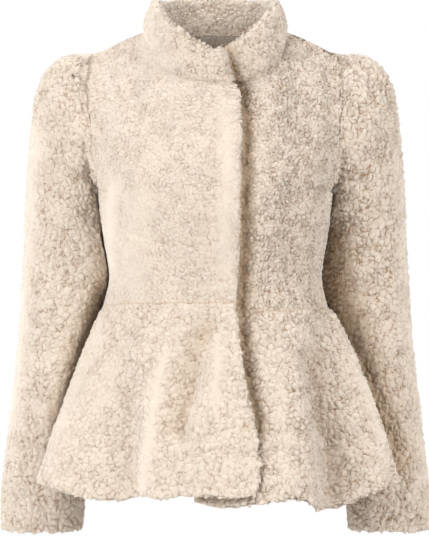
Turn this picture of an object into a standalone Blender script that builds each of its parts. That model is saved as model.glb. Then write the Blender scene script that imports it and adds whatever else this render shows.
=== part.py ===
"""Faux fur coat with a fluted peplum: hollow sewn pieces, filled out as if worn.

+Z is up and the front faces -Y, so +X is the wearer's left. The origin is the middle of the
neck base. Tables are in millimetres and the model is in metres.
"""
import math
from collections import namedtuple

import bmesh
import bpy
import numpy as np

MM = 0.001

# Driving dimensions, in millimetres
CLOTH = 7.5             # backing and pile of the fur cloth
SEAM_GAP = 0.3          # left open between two sewn pieces
COLLAR_THICK = 16.0     # two layers of fur
COLLAR_OVERHANG = 3.0   # how far the collar stands outside the neck seam
PEPLUM_LENGTH = 249.0   # cut length of the peplum, from waist seam to hem
LAP_UNDER = 28.0        # how far the left front reaches under the right one
LAP_DROP = 9.5          # how far the left front lies behind the right one
LAP_DROP_NECK = 18.0    # the same at the neck, where the doubled collar passes
LAP_DROP_FROM = 0.84    # height on the bodice from which it grows towards the neck's
LAP_BLEND = (34.0, 84.0)  # x where the left front begins to come out, and where it is out
RIM_BLEND = (28.0, 70.0)  # the same at the collar's rim
NECK_SHARE = 0.5        # share of a bodice piece's width that its neck edge takes
UNDERARM = 0.40         # height of the underarm on a bodice piece, from 0 at the waist to 1

# Grid of each piece: spaces between points
BODICE_AROUND = 12
BODICE_LOW = 6          # waist seam to underarm
BODICE_HIGH = 9         # underarm to shoulder, which is also half of the armhole
PEPLUM_AROUND = 18
PEPLUM_DOWN = 7
SLEEVE_DOWN = 20
COLLAR_UP = 3
COLLAR_RIM = 3

# Sections of the bodice from the waist up: half width, with the y and z of the side, then the
# y and z of the centre front and the centre back. Square is 2 for an ellipse and more where
# the section is boxier.
Section = namedtuple(
    "Section", "name at half_width side_y side_z front_y front_z back_y back_z square")
SECTIONS = (
    Section("waist seam", 0.00, 149.5, -4, -360, -111, -358, 102, -355, 2.30),
    Section("waist", 0.09, 141.5, -3, -326, -109, -326, 97, -326, 2.25),
    Section("rib", 0.23, 148.5, 0, -272, -122, -272, 106, -272, 2.35),
    Section("bust", 0.33, 153.5, 3, -236, -131, -232, 115, -230, 2.45),
    Section("underarm", UNDERARM, 156.0, 5, -212, -132, -205, 119, -200, 2.50),
    Section("notch", 0.52, 161.0, 6, -182, -129, -180, 121, -165, 2.60),
    Section("chest", 0.64, 166.5, 7, -150, -121, -152, 119, -125, 2.75),
    Section("upper chest", 0.77, 171.0, 8, -112, -110, -122, 111, -80, 2.80),
    Section("yoke", 0.89, 171.5, 8, -68, -99, -96, 95, -35, 2.80),
    Section("shoulder", 1.00, 163.0, 8, -27, -88, -74, 74, 8, 2.60),
)
# Armhole: how far round from the centre, in degrees, the front and the back reach
Armhole = namedtuple("Armhole", "at front back")
ARMHOLE = (
    Armhole(UNDERARM, 90, 90), Armhole(0.415, 84, 84), Armhole(0.45, 78, 77.5),
    Armhole(0.52, 73.5, 72), Armhole(0.64, 71.5, 69), Armhole(0.77, 73.5, 70),
    Armhole(0.89, 80, 76), Armhole(1.00, 90, 90),
)
ARMHOLE_MIDDLE = (0.0, 7.0, -120.0)
ARMHOLE_LEAN = 0.24     # how far the armhole's seam turns outward through the cloth
UNDERARM_MITRE = 0.8    # how much longer the seam's join is under the arm, where it is sharp
SHOULDER_FROM = 0.55    # height from which the sections rise to the neck and shoulder
SHOULDER_CURVE = 1.7
WAIST_STEP = {1: -6.0, -1: 5.0}     # the fronts' waist seams don't meet level at the lap
WAIST_STEP_REACH = 0.16     # height on the bodice by which the step has died out
NECK_POINT = (94.0, 5.0, 6.0)
SHOULDER_TIP = (163.0, 8.0, -27.0)
SHOULDER_ARCH = 2.5
NECK_FRONT_Y = -88.0
NECK_BACK = (74.0, 8.0)     # y and z of the neck seam at the centre back
# Neck seam of each front: its height at the centre, and how late it rises to the shoulder
NECK_DROP = {1: (-76.0, 1.12), -1: (-71.0, 1.0)}

NECK_LEAN = (0.12, 0.45)    # rise of the neck seam's join at the centres, and its gain at the sides
SHOULDER_LEAN = (0.42, 0.0, 0.91)   # direction through the cloth at the shoulder seam

# Wearer's right front edge: x of the lap at heights up the bodice, from 0 to 1
LapEdge = namedtuple("LapEdge", "at x")
RIGHT_EDGE = (
    LapEdge(0.00, 27.0), LapEdge(0.20, 31.0), LapEdge(0.50, 33.0), LapEdge(0.86, 34.0),
    LapEdge(0.95, 32.0), LapEdge(1.00, 26.0),
)

# Rings of a sleeve below the armhole: outer and inner point, centre and half its depth
Ring = namedtuple("Ring", "name outer_x outer_z inner_x inner_z mid_y depth")
SLEEVE = (
    Ring("head start", 181, -23, 161.0, -219, 8, 59),
    Ring("head", 204, -27, 160.0, -227, 11, 63),
    Ring("head turn", 227, -45, 156.5, -235, 14, 64),
    Ring("head side", 240, -74, 153.0, -245, 18, 63),
    Ring("upper arm", 247, -120, 150.0, -262, 23, 62),
    Ring("bicep", 252, -170, 144.5, -285, 28, 61),
    Ring("above elbow", 256, -235, 140.5, -318, 32, 60),
    Ring("elbow", 259, -305, 146.0, -352, 34, 59),
    Ring("below elbow", 263, -372, 162.5, -398, 35, 58),
    Ring("forearm", 269, -440, 167.0, -452, 35, 57),
    Ring("low forearm", 277, -510, 169.5, -515, 34, 56),
    Ring("wrist", 285, -580, 173.0, -582, 33, 56),
    Ring("above cuff", 289, -635, 176.0, -636, 32, 56),
    Ring("cuff", 289, -660, 178.0, -660, 32, 55),
)
# Pleats let into a sleeve head: position round it from the top, 0.25 is the middle of the
# front; width; depth at the armhole; how far down they run
Pleat = namedtuple("Pleat", "name around width depth reach")
PLEATS = (
    Pleat("front pleat", 0.115, 0.030, 8.0, 0.14),
    Pleat("front tuck", 0.185, 0.026, 4.0, 0.10),
    Pleat("back pleat", 0.885, 0.030, 8.0, 0.14),
    Pleat("back tuck", 0.815, 0.026, 4.0, 0.10),
)

PLEAT_RISE = (0.0, 0.02)    # where on the sleeve a pleat has come to its full depth
PLEAT_FADE = 0.03           # where it begins to run out
SLEEVE_CROWD = 1.15         # above 1 the sleeve's rows lie closer together at the head

# Hem of the peplum: "at" is the place on the waist seam, from 0 at the front edge to 1 at the
# side seam; x and y are the hem point under it, drop is what its length differs by, and spring
# below 1 throws the flare out high up.
Flute = namedtuple("Flute", "name at x y drop spring")
LEFT_FLUTES = (
    Flute("edge", 0.00, -27, -172, 0, 0.95),
    Flute("under lap", 0.10, 6, -176, 8, 0.95),
    Flute("lap side", 0.20, 36, -182, 9, 0.92),
    Flute("front crest", 0.30, 64, -187, 6, 0.90),
    Flute("crest side", 0.43, 100, -188, 5, 0.85),
    Flute("crest turn", 0.52, 124, -175, 11, 0.85),
    Flute("fold", 0.58, 132, -157, 15, 0.85),
    Flute("valley in", 0.64, 131, -138, 15, 0.90),
    Flute("valley", 0.70, 141, -122, 14, 0.90),
    Flute("lobe in", 0.77, 166, -112, 11, 0.85),
    Flute("lobe", 0.84, 200, -105, 5, 0.78),
    Flute("lobe side", 0.90, 228, -94, 4, 0.72),
    Flute("lobe tip", 0.935, 240, -77, 0, 0.72),
    Flute("tip back", 0.96, 235, -56, 0, 0.76),
    Flute("return", 0.978, 211, -33, 0, 0.85),
    Flute("arm side", 0.99, 187, -12, 0, 0.95),
    Flute("side", 1.00, 170, 16, 0, 1.00),
)
RIGHT_FLUTES = (
    Flute("edge", 0.00, -54, -190, 6, 0.90),
    Flute("edge crest", 0.12, -27, -194, 11, 0.90),
    Flute("flat", 0.26, 8, -191, 12, 0.90),
    Flute("dent", 0.38, 42, -186, 10, 0.95),
    Flute("fold in", 0.47, 70, -181, 13, 0.90),
    Flute("fold", 0.52, 87, -172, 9, 0.90),
    Flute("valley", 0.575, 97, -151, 6, 0.95),
    Flute("lobe in", 0.65, 124, -141, 10, 0.92),
    Flute("lobe", 0.74, 165, -130, 10, 0.88),
    Flute("lobe side", 0.83, 200, -113, 8, 0.86),
    Flute("lobe out", 0.90, 225, -93, 3, 0.86),
    Flute("lobe tip", 0.935, 234, -75, 0, 0.86),
    Flute("tip back", 0.96, 229, -55, 0, 0.88),
    Flute("return", 0.978, 207, -33, 0, 0.90),
    Flute("arm side", 0.99, 185, -12, 0, 0.95),
    Flute("side", 1.00, 170, 16, 0, 1.00),
)
BACK_FLUTES = (
    Flute("centre valley", 0.00, 0, 176, 4, 0.95),
    Flute("inner crest", 0.20, 50, 199, 6, 0.90),
    Flute("inner side", 0.33, 90, 191, 5, 0.90),
    Flute("valley", 0.47, 114, 164, 4, 0.95),
    Flute("outer rise", 0.60, 146, 165, 4, 0.90),
    Flute("outer crest", 0.74, 181, 158, 2, 0.89),
    Flute("crest side", 0.84, 197, 137, 0, 0.90),
    Flute("return", 0.92, 190, 103, 0, 0.93),
    Flute("arm side", 0.97, 177, 62, 0, 0.97),
    Flute("side", 1.00, 170, 16, 0, 1.00),
)
# The lap edge of the peplum's right front bows out and its hem corner is rounded: x moved at
# places down it, from 0 at the waist seam to 1 at the hem
EdgeBow = namedtuple("EdgeBow", "at out")
EDGE_BOW = (
    EdgeBow(0.00, 0.0), EdgeBow(0.20, -2.0), EdgeBow(0.35, -1.0), EdgeBow(0.50, 2.5),
    EdgeBow(0.66, 7.0), EdgeBow(0.80, 7.8), EdgeBow(0.91, 5.5), EdgeBow(1.00, -3.0),
)
EDGE_BOW_WIDTH = 0.24   # share of the piece's width that the bow reaches

# Rim of the collar, and the places on it above places on the neck seam (degrees from the
# centre front): the band leans in and its rulings with it
RIM_X = 75.0
RIM_FRONT_Y = -83.0
RIM_BACK_Y = 73.0
RIM_V_Z = -23.0
RIM_SIDE_Z = 49.0
RIM_BACK_Z = 59.0
RIM_V_SHAPE = 0.6
Ruling = namedtuple("Ruling", "seam rim")
RULINGS = (
    Ruling(-30, -12), Ruling(-16, -7), Ruling(0, 2), Ruling(40, 24), Ruling(78, 62),
    Ruling(100, 88), Ruling(140, 133), Ruling(180, 180),
)
COLLAR_BELLY = 4.0      # how far the band rounds out between seam and rim

FUR = {"name": "faux_fur", "color": (0.80, 0.68, 0.52, 1.0), "roughness": 0.95}


def hermite(stations, values, places):
    """A smooth curve through values at their stations, read at the places."""
    stations = np.asarray(stations, dtype=float)
    values = np.asarray(values, dtype=float)
    flat = values.reshape(len(stations), -1)
    step = np.diff(stations)[:, None]
    slope = np.diff(flat, axis=0) / step
    tangent = np.empty_like(flat)
    tangent[0], tangent[-1] = slope[0], slope[-1]
    tangent[1:-1] = (slope[:-1] * step[1:] + slope[1:] * step[:-1]) / (step[:-1] + step[1:])
    places = np.clip(np.asarray(places, dtype=float), stations[0], stations[-1])
    cell = np.clip(np.searchsorted(stations, places, side="right") - 1, 0, len(step) - 1)
    width = step[cell]
    t = (places - stations[cell])[:, None] / width
    result = (
        flat[cell] * (1 + 2 * t) * (1 - t) ** 2
        + flat[cell + 1] * t * t * (3 - 2 * t)
        + tangent[cell] * width * t * (1 - t) ** 2
        - tangent[cell + 1] * width * t * t * (1 - t)
    )
    return result.reshape((len(places),) + values.shape[1:])


def column(rows, field):
    """One named column of a table."""
    return np.array([getattr(row, field) for row in rows], dtype=float)


def unit(vectors):
    """The vectors at length 1."""
    return vectors / np.linalg.norm(vectors, axis=-1, keepdims=True)


def smooth_step(low, high, value):
    """0 below low, 1 above high, and a soft rise between them."""
    t = np.clip((value - low) / (high - low), 0.0, 1.0)
    return t * t * (3 - 2 * t)


# The bodice

def section_values(field, up):
    """A column of the bodice's sections, read at heights up it."""
    return hermite(column(SECTIONS, "at"), column(SECTIONS, field), up)


def armhole_turn(face, up):
    """How far round, in radians, a piece reaches: to the side seam, then to the armhole."""
    turn = hermite(column(ARMHOLE, "at"), column(ARMHOLE, face), np.maximum(up, UNDERARM))
    return np.radians(np.where(up <= UNDERARM, 90.0, turn))


def torso(face, up, angle):
    """Points of the left half of the body at heights and angles round from the centre."""
    width = section_values("half_width", up)
    side_y, side_z = section_values("side_y", up), section_values("side_z", up)
    mid_y, mid_z = section_values(face + "_y", up), section_values(face + "_z", up)
    power = 2 / section_values("square", up)
    if angle.ndim == 2:
        width, side_y, side_z, mid_y, mid_z, power = (
            value[:, None] for value in (width, side_y, side_z, mid_y, mid_z, power))
    sine, cosine = np.sin(angle), np.clip(np.cos(angle), 0, 1)
    x = width * np.sign(sine) * np.abs(sine) ** power
    y = side_y + (mid_y - side_y) * cosine ** power
    z = side_z + (mid_z - side_z) * cosine
    return np.stack([x, y, z], -1)


def edge_line(face, up):
    """Side seam and armhole edge of the left side."""
    return torso(face, up, armhole_turn(face, up))


def neck_angle(lap_x, around):
    """Angle round the neck, from the centre, of the places on a piece's neck edge."""
    start = math.asin(lap_x / NECK_POINT[0])
    return start + (math.pi / 2 - start) * around / NECK_SHARE


def neck_front(side, angle):
    """Neck seam at angles from the centre front, on the left side."""
    drop, late = NECK_DROP[side]
    rise = (1 - np.cos(angle)) ** late
    x = NECK_POINT[0] * np.sin(angle)
    y = NECK_POINT[1] + (NECK_FRONT_Y - NECK_POINT[1]) * np.cos(angle)
    return np.stack([x, y, drop + (NECK_POINT[2] - drop) * rise], 1)


def neck_back(angle):
    """Neck seam at angles from the centre back, on the left side."""
    y, z = NECK_BACK
    rise = 1 - np.cos(angle)
    x = NECK_POINT[0] * np.sin(angle)
    return np.stack([
        x, NECK_POINT[1] + (y - NECK_POINT[1]) * np.cos(angle), z + (NECK_POINT[2] - z) * rise,
    ], 1)


def shoulder_line(places):
    """Shoulder seam of the left side, from the neck point to the tip."""
    start, end = np.array(NECK_POINT), np.array(SHOULDER_TIP)
    points = start + (end - start) * places[:, None]
    points[:, 2] += SHOULDER_ARCH * np.sin(places * math.pi)
    return points


def top_row(face, side, lap_x, around):
    """Neck edge and shoulder edge of a bodice piece."""
    on_neck = around <= NECK_SHARE + 1e-9
    angle = neck_angle(lap_x, np.minimum(around, NECK_SHARE))
    neck = neck_front(side, angle) if face == "front" else neck_back(angle)
    along = np.clip((around - NECK_SHARE) / (1 - NECK_SHARE), 0, 1)
    return np.where(on_neck[:, None], neck, shoulder_line(along))


def lap_edge(side, at):
    """Where a front's edge is, as x on its own side: past the centre it is negative."""
    if side > 0:
        return -LAP_UNDER
    return -hermite(column(RIGHT_EDGE, "at"), column(RIGHT_EDGE, "x"), [at])[0]


def lap_drop(side, points, places):
    """The left front's points, moved in behind the right front where it is lapped."""
    if side < 0:
        return points
    depth = LAP_DROP + (LAP_DROP_NECK - LAP_DROP) * smooth_step(LAP_DROP_FROM, 1.0, places)
    points = points.copy()
    points[..., 1] += depth[:, None] * (1 - smooth_step(*LAP_BLEND, points[..., 0]))
    return points


def bodice(face, side, around, up):
    """Outer surface of half a bodice: rows up from the waist, columns round from the centre."""
    lap_x = np.array([lap_edge(side, at) if face == "front" else 0.0 for at in up])
    power = section_values("square", up) / 2
    share = np.abs(lap_x) / section_values("half_width", up)
    start = -np.arcsin(share ** power)
    end = armhole_turn(face, up)
    angle = start[:, None] + (end - start)[:, None] * around
    points = torso(face, up, angle)
    top = top_row(face, side, lap_x[-1], around)
    rise = np.clip((up - SHOULDER_FROM) / (1 - SHOULDER_FROM), 0, 1) ** SHOULDER_CURVE
    full = torso(face, np.ones(1), (start[-1] + (end[-1] - start[-1]) * around)[None])[0]
    if up[-1] == 1.0:
        points += (top - full) * rise[:, None, None]
    if face == "front":
        step = WAIST_STEP[side] * (1 - smooth_step(0.0, WAIST_STEP_REACH, up))
        points[..., 2] += step[:, None] * np.cos(angle)
        points = lap_drop(side, points, up)
    points[..., 0] *= side
    return points


def grid_normals(points, sense):
    """Outward normals of a grid of points; sense turns them the right way."""
    down = np.gradient(points, axis=0)
    across = np.gradient(points, axis=1)
    return unit(np.cross(across, down)) * sense


def waist_lean(points, side):
    """Through-thickness direction along the waist seam: level and square to the seam."""
    run = np.gradient(points, axis=0)
    lean = np.stack([run[:, 1], -run[:, 0], np.zeros(len(run))], 1)
    return unit(lean) * side


def armhole_lean(points, sleeve_share):
    """Through-thickness direction round an armhole, shared by bodice and sleeve."""
    radial = unit((points - ARMHOLE_MIDDLE) * (0.0, 1.0, 1.0))
    lean = unit(radial + ARMHOLE_LEAN * np.array([1.0, 0.0, 0.0]))
    return lean * (1 + UNDERARM_MITRE * sleeve_share[:, None] ** 3)


def underarm_share(places):
    """1 at the underarm and 0 at the shoulder tip."""
    return 1 - (places - UNDERARM) / (1 - UNDERARM)


def neck_lean(angle, back):
    """Through-thickness direction along the neck seam of the left side."""
    low, gain = NECK_LEAN
    up = (low + gain * np.sin(angle) ** 2)[:, None]
    forward = np.cos(angle) * (1 if back else -1)
    level = np.stack([np.sin(angle), forward, np.zeros(len(angle))], 1)
    return unit(level + up * np.array([0.0, 0.0, 1.0]))


def bodice_wall(face, side, around, up):
    """Outer and inner points of half a bodice; seams take the lean that both pieces share."""
    points = bodice(face, side, around, up)
    sense = side if face == "front" else -side
    lean = grid_normals(points, sense)
    mirror = np.array([side, 1.0, 1.0])
    lean[0] = waist_lean(points[0], sense)
    low = up <= UNDERARM + 1e-9
    lean[low, -1] = (side, 0.0, 0.0)
    high = up >= UNDERARM - 1e-9
    arm = armhole_lean(edge_line(face, up[high]), underarm_share(up[high]))
    lean[high, -1] = arm * mirror
    lap_x = lap_edge(side, 1.0) if face == "front" else 0.0
    on_neck = around <= NECK_SHARE + 1e-9
    lean[-1, on_neck] = neck_lean(neck_angle(lap_x, around[on_neck]), face == "back") * mirror
    lean[-1, ~on_neck] = unit(np.array(SHOULDER_LEAN)) * mirror
    return points, points - CLOTH * lean


# The peplum

def hem_point(flutes, side, around, waist):
    """Hem points below the waist points, each a cut length away down its slope."""
    at = column(flutes, "at")
    plan = hermite(at, np.stack([column(flutes, "x") * side, column(flutes, "y")], 1), around)
    length = PEPLUM_LENGTH + hermite(at, column(flutes, "drop"), around)
    out = np.linalg.norm(plan - waist[:, :2], axis=1)
    fall = np.sqrt(length ** 2 - out ** 2)
    return np.column_stack([plan, waist[:, 2] - fall])


def peplum(face, side, around, down):
    """Outer surface of half a peplum: rows down from the waist, columns from the centre."""
    waist = bodice(face, side, around, np.array([0.0]))[0]
    flutes = BACK_FLUTES
    if face == "front":
        flutes = LEFT_FLUTES if side > 0 else RIGHT_FLUTES
    hem = hem_point(flutes, side, around, waist)
    spring = hermite(column(flutes, "at"), column(flutes, "spring"), around)
    share = down[:, None]
    out = share ** spring
    points = np.empty((len(down), len(around), 3))
    points[..., :2] = waist[:, :2] + (hem - waist)[:, :2] * out[..., None]
    points[..., 2] = waist[:, 2] + (hem - waist)[:, 2] * share
    if face == "front" and side < 0:
        bow = hermite(column(EDGE_BOW, "at"), column(EDGE_BOW, "out"), down)
        reach = np.clip(1 - around / EDGE_BOW_WIDTH, 0, 1) ** 2
        points[..., 0] += bow[:, None] * reach
    return points


def peplum_wall(face, side, around, down):
    """Outer and inner points of half a peplum."""
    points = peplum(face, side, around, down)
    sense = -side if face == "front" else side
    lean = grid_normals(points, sense)
    lean[0] = waist_lean(points[0], -sense)
    lean[:, -1] = (side, 0.0, 0.0)
    return points, points - CLOTH * lean


# The sleeves

def armhole_height(places):
    """Heights on the bodice of places round an armhole, from the shoulder tip at 0 and 1."""
    return UNDERARM + (1 - UNDERARM) * (1 + np.cos(2 * math.pi * places)) / 2


def armhole_ring(side, places):
    """The armhole as a ring, from 0 at the shoulder tip over the front back to 1."""
    fold = armhole_height(places)
    front = edge_line("front", fold)
    back = edge_line("back", fold)
    ring = np.where((places <= 0.5)[:, None], front, back)
    lean = armhole_lean(ring, underarm_share(fold))
    return ring * (side, 1, 1), lean * (side, 1, 1)


def sleeve(side, places, down):
    """Outer surface of a sleeve: rows down from the armhole, columns round it from the top."""
    ring, _ = armhole_ring(side, places)
    turn = 2 * math.pi * places
    keys = [ring * (side, 1, 1)]
    for row in SLEEVE:
        outer = np.array([row.outer_x, row.mid_y, row.outer_z])
        inner = np.array([row.inner_x, row.mid_y, row.inner_z])
        middle, reach = (outer + inner) / 2, (outer - inner) / 2
        front = np.array([0.0, -row.depth, 0.0])
        keys.append(middle + np.cos(turn)[:, None] * reach + np.sin(turn)[:, None] * front)
    keys = np.stack(keys)
    middles = keys.mean(axis=1)
    stations = np.append(0.0, np.cumsum(np.linalg.norm(np.diff(middles, axis=0), axis=1)))
    points = hermite(stations / stations[-1], keys, down)
    points -= pleat_depth(places, down)[..., None] * grid_normals(points, 1)
    points[..., 0] *= side
    return points


def pleat_depth(places, down):
    """How far the pleats draw the sleeve head in."""
    depth = np.zeros((len(down), len(places)))
    for pleat in PLEATS:
        across = np.exp(-((places - pleat.around) / pleat.width) ** 2)
        along = smooth_step(*PLEAT_RISE, down) * (1 - smooth_step(PLEAT_FADE, pleat.reach, down))
        depth += pleat.depth * along[:, None] * across
    return depth


def sleeve_wall(side, places, down):
    """Outer and inner points of a sleeve."""
    points = sleeve(side, places, down)
    closed = np.concatenate([points[:, -2:-1], points, points[:, 1:2]], axis=1)
    lean = grid_normals(closed, side)[:, 1:-1]
    _, lean[0] = armhole_ring(side, places)
    return points, points - CLOTH * lean


# The collar

def rim_point(angle):
    """Middle of the collar's rim at angles from the centre front, on the left side."""
    front = angle <= math.pi / 2
    share = np.where(front, (1 - np.cos(angle)) ** RIM_V_SHAPE, 1.0)
    back_share = smooth_step(math.pi / 2, math.pi, angle)
    z = RIM_V_Z + (RIM_SIDE_Z - RIM_V_Z) * share + (RIM_BACK_Z - RIM_SIDE_Z) * back_share
    y = np.where(front, RIM_FRONT_Y, RIM_BACK_Y) * np.abs(np.cos(angle))
    return np.stack([RIM_X * np.sin(angle), y, z], 1)


def collar_half(side, angle, seam, lean):
    """Base, rim and outward direction of the collar over stretches of neck seam."""
    rim_angle = np.radians(hermite(
        column(RULINGS, "seam"), column(RULINGS, "rim"), np.degrees(angle)))
    rim = rim_point(rim_angle)
    rim_out = np.stack([np.sin(rim_angle), -np.cos(rim_angle), np.zeros(len(angle))], 1)
    if side > 0:
        tucked = LAP_DROP_NECK * (1 - smooth_step(*RIM_BLEND, rim[:, 0]))
        rim[:, 1] += tucked * (angle < math.pi / 2)
    mirror = np.array([side, 1.0, 1.0])
    return seam, lean, rim * mirror, rim_out * mirror


def collar_lines(steps):
    """Seam, lean, rim and rim direction all round, from the right front edge to the left."""
    around = np.linspace(0, NECK_SHARE, steps + 1)
    parts = []
    for side in (-1, 1):
        mirror = np.array([side, 1.0, 1.0])
        lap_x = lap_edge(side, 1.0)
        angle = neck_angle(lap_x, around)
        seam = lap_drop(side, neck_front(side, angle)[None], np.array([1.0]))[0] * mirror
        front = collar_half(side, angle, seam, neck_lean(angle, False) * mirror)
        back_angle = neck_angle(0.0, around)[::-1][1:]
        seam = neck_back(back_angle) * mirror
        back = collar_half(
            side, math.pi - back_angle, seam, neck_lean(back_angle, True) * mirror)
        parts.append([np.concatenate(pair) for pair in zip(front, back)])
    right, left = parts
    return [np.concatenate([r, l[::-1][1:]]) for r, l in zip(right, left)]


def collar_rings(steps):
    """Closed sections of the collar, one for each place along the neck seam."""
    seam, lean, rim, rim_out = collar_lines(steps)
    run = unit(np.gradient(seam, axis=0))
    rise = unit(np.cross(lean, run))
    rise *= np.sign(rise[:, 2:3])
    seam = seam + rise * SEAM_GAP / 2
    half = COLLAR_THICK / 2
    outer_foot = seam + lean * COLLAR_OVERHANG
    inner_foot = seam - lean * (COLLAR_THICK - COLLAR_OVERHANG)
    up = np.array([0.0, 0.0, 1.0])
    outer_top = rim + rim_out * half - up * half
    inner_top = rim - rim_out * half - up * half
    sections = [inner_foot, seam - lean * CLOTH, seam, outer_foot]
    for k in range(1, COLLAR_UP + 1):
        share = k / COLLAR_UP
        belly = COLLAR_BELLY * math.sin(share * math.pi)
        sections.append(outer_foot + (outer_top - outer_foot) * share + rim_out * belly)
    for k in range(1, COLLAR_RIM + 1):
        angle = math.pi * k / (COLLAR_RIM + 1)
        sections.append(
            rim - up * half + rim_out * half * math.cos(angle) + up * half * math.sin(angle))
    for k in range(COLLAR_UP, 0, -1):
        share = k / COLLAR_UP
        sections.append(inner_foot + (inner_top - inner_foot) * share)
    return np.stack(sections, axis=1)


# Meshes

def pull_back(points, sides):
    """The grid with its sewn edges drawn back by half the seam gap."""
    points = points.copy()
    for side in sides:
        rows = points if side in ("top", "bottom") else points.transpose(1, 0, 2)
        edge, beside = (0, 1) if side in ("top", "left") else (-1, -2)
        rows[edge] += unit(rows[beside] - rows[edge]) * SEAM_GAP / 2
    return points


def grid_cell(vert, rows, columns):
    """Row and column of a vertex of a unit grid."""
    return (
        round((vert.co.y + 1) / 2 * (rows - 1)),
        round((vert.co.x + 1) / 2 * (columns - 1)),
    )


def cloth_mesh(walls, sewn, twisted=(), closed=False):
    """A wall of cloth between two grids of points, or a tube of it.

    The sewn edges are drawn back from the seam. A twisted one gets a point in the middle of
    each facet, so that the two pieces' facets fold alike.
    """
    outer, inner = [pull_back(grid, sewn) for grid in walls]
    rows, columns = outer.shape[:2]
    bm = bmesh.new()
    bmesh.ops.create_grid(bm, x_segments=columns - 1, y_segments=rows - 1, size=1)
    row_of = bm.verts.layers.int.new("row")
    column_of = bm.verts.layers.int.new("column")
    for vert in bm.verts:
        vert[row_of], vert[column_of] = grid_cell(vert, rows, columns)
    raised = bmesh.ops.extrude_face_region(bm, geom=bm.faces[:])
    lifted = {item for item in raised["geom"] if isinstance(item, bmesh.types.BMVert)}
    for vert in bm.verts:
        points = inner if vert in lifted else outer
        vert.co = points[vert[row_of], vert[column_of]] * MM
    if closed:
        seam = [face for face in bm.faces if len({v[column_of] for v in face.verts}) == 1]
        bmesh.ops.delete(bm, geom=seam, context="FACES_ONLY")
        bmesh.ops.remove_doubles(bm, verts=bm.verts, dist=1e-6)
    edges = {
        "top": (row_of, 0), "left": (column_of, 0), "right": (column_of, columns - 1),
    }
    for layer, place in (edges[side] for side in twisted):
        facets = [face for face in bm.faces if all(v[layer] == place for v in face.verts)]
        bmesh.ops.poke(bm, faces=facets)
    bmesh.ops.recalc_face_normals(bm, faces=bm.faces)
    return bm


def ring_mesh(rings):
    """A solid through closed sections, with flat ends."""
    closed = np.concatenate([rings, rings[:, :1]], axis=1)
    rows, columns = closed.shape[:2]
    bm = bmesh.new()
    bmesh.ops.create_grid(bm, x_segments=columns - 1, y_segments=rows - 1, size=1)
    for vert in bm.verts:
        row, col = grid_cell(vert, rows, columns)
        vert.co = closed[row, col] * MM
    bmesh.ops.remove_doubles(bm, verts=bm.verts, dist=1e-6)
    bmesh.ops.holes_fill(bm, edges=bm.edges, sides=0)
    bmesh.ops.recalc_face_normals(bm, faces=bm.faces)
    return bm


def fur_material():
    """The one cloth of the coat."""
    material = bpy.data.materials.new(FUR["name"])
    material.use_nodes = True
    shader = material.node_tree.nodes["Principled BSDF"]
    shader.inputs["Base Color"].default_value = FUR["color"]
    shader.inputs["Roughness"].default_value = FUR["roughness"]
    shader.inputs["Metallic"].default_value = 0.0
    return material


def add_piece(name, bm, material):
    """One sewn piece as an object."""
    mesh = bpy.data.meshes.new(name)
    bm.to_mesh(mesh)
    bm.free()
    mesh.shade_smooth()
    mesh.materials.append(material)
    piece = bpy.data.objects.new(name, mesh)
    bpy.context.collection.objects.link(piece)
    return piece


def bodice_grid():
    """Places round and up a bodice piece."""
    low = np.linspace(0, UNDERARM, BODICE_LOW + 1)
    high = armhole_height(np.linspace(0.5, 0.0, BODICE_HIGH + 1))[1:]
    return np.linspace(0, 1, BODICE_AROUND + 1), np.concatenate([low, high])


def waist_grid():
    """Places round and down a peplum piece."""
    return np.linspace(0, 1, PEPLUM_AROUND + 1), np.linspace(0, 1, PEPLUM_DOWN + 1)


def mirrored(wall, face, around, along):
    """Both halves of a back piece as one grid."""
    halves = []
    for side in (-1, 1):
        halves.append(wall(face, side, around, along))
    joined = []
    for right, left in zip(*halves):
        joined.append(np.concatenate([right[:, ::-1], left[:, 1:]], axis=1))
    return joined


def build_bodice(material):
    """Two lapped fronts and a back."""
    around, up = bodice_grid()
    for name, side in (("bodice_front_right", -1), ("bodice_front_left", 1)):
        walls = bodice_wall("front", side, around, up)
        bm = cloth_mesh(walls, ("top", "bottom", "right"), twisted=("right",))
        add_piece(name, bm, material)
    walls = mirrored(bodice_wall, "back", around, up)
    bm = cloth_mesh(walls, ("top", "bottom", "left", "right"), twisted=("left", "right"))
    add_piece("bodice_back", bm, material)


def build_peplum(material):
    """Two lapped fronts and a back, fluted."""
    around, down = waist_grid()
    for name, side in (("peplum_front_right", -1), ("peplum_front_left", 1)):
        walls = peplum_wall("front", side, around, down)
        add_piece(name, cloth_mesh(walls, ("top", "right")), material)
    walls = mirrored(peplum_wall, "back", around, down)
    add_piece("peplum_back", cloth_mesh(walls, ("top", "left", "right")), material)


def build_sleeves(material):
    """Two sleeves, each a tube, drawn back twice: under the arm the seam's gap is theirs alone."""
    places = np.linspace(0, 1, 2 * BODICE_HIGH + 1)
    down = np.linspace(0, 1, SLEEVE_DOWN + 1) ** SLEEVE_CROWD
    for name, side in (("sleeve_right", -1), ("sleeve_left", 1)):
        walls = sleeve_wall(side, places, down)
        bm = cloth_mesh(walls, ("top", "top"), twisted=("top",), closed=True)
        add_piece(name, bm, material)


def build_collar(material):
    """The doubled stand collar."""
    steps = round(BODICE_AROUND * NECK_SHARE)
    add_piece("collar", ring_mesh(collar_rings(steps)), material)


def clear_scene():
    """An empty scene."""
    for item in list(bpy.data.objects):
        bpy.data.objects.remove(item, do_unlink=True)


def main():
    """Build every piece."""
    clear_scene()
    material = fur_material()
    build_bodice(material)
    build_peplum(material)
    build_sleeves(material)
    build_collar(material)


main()
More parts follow.
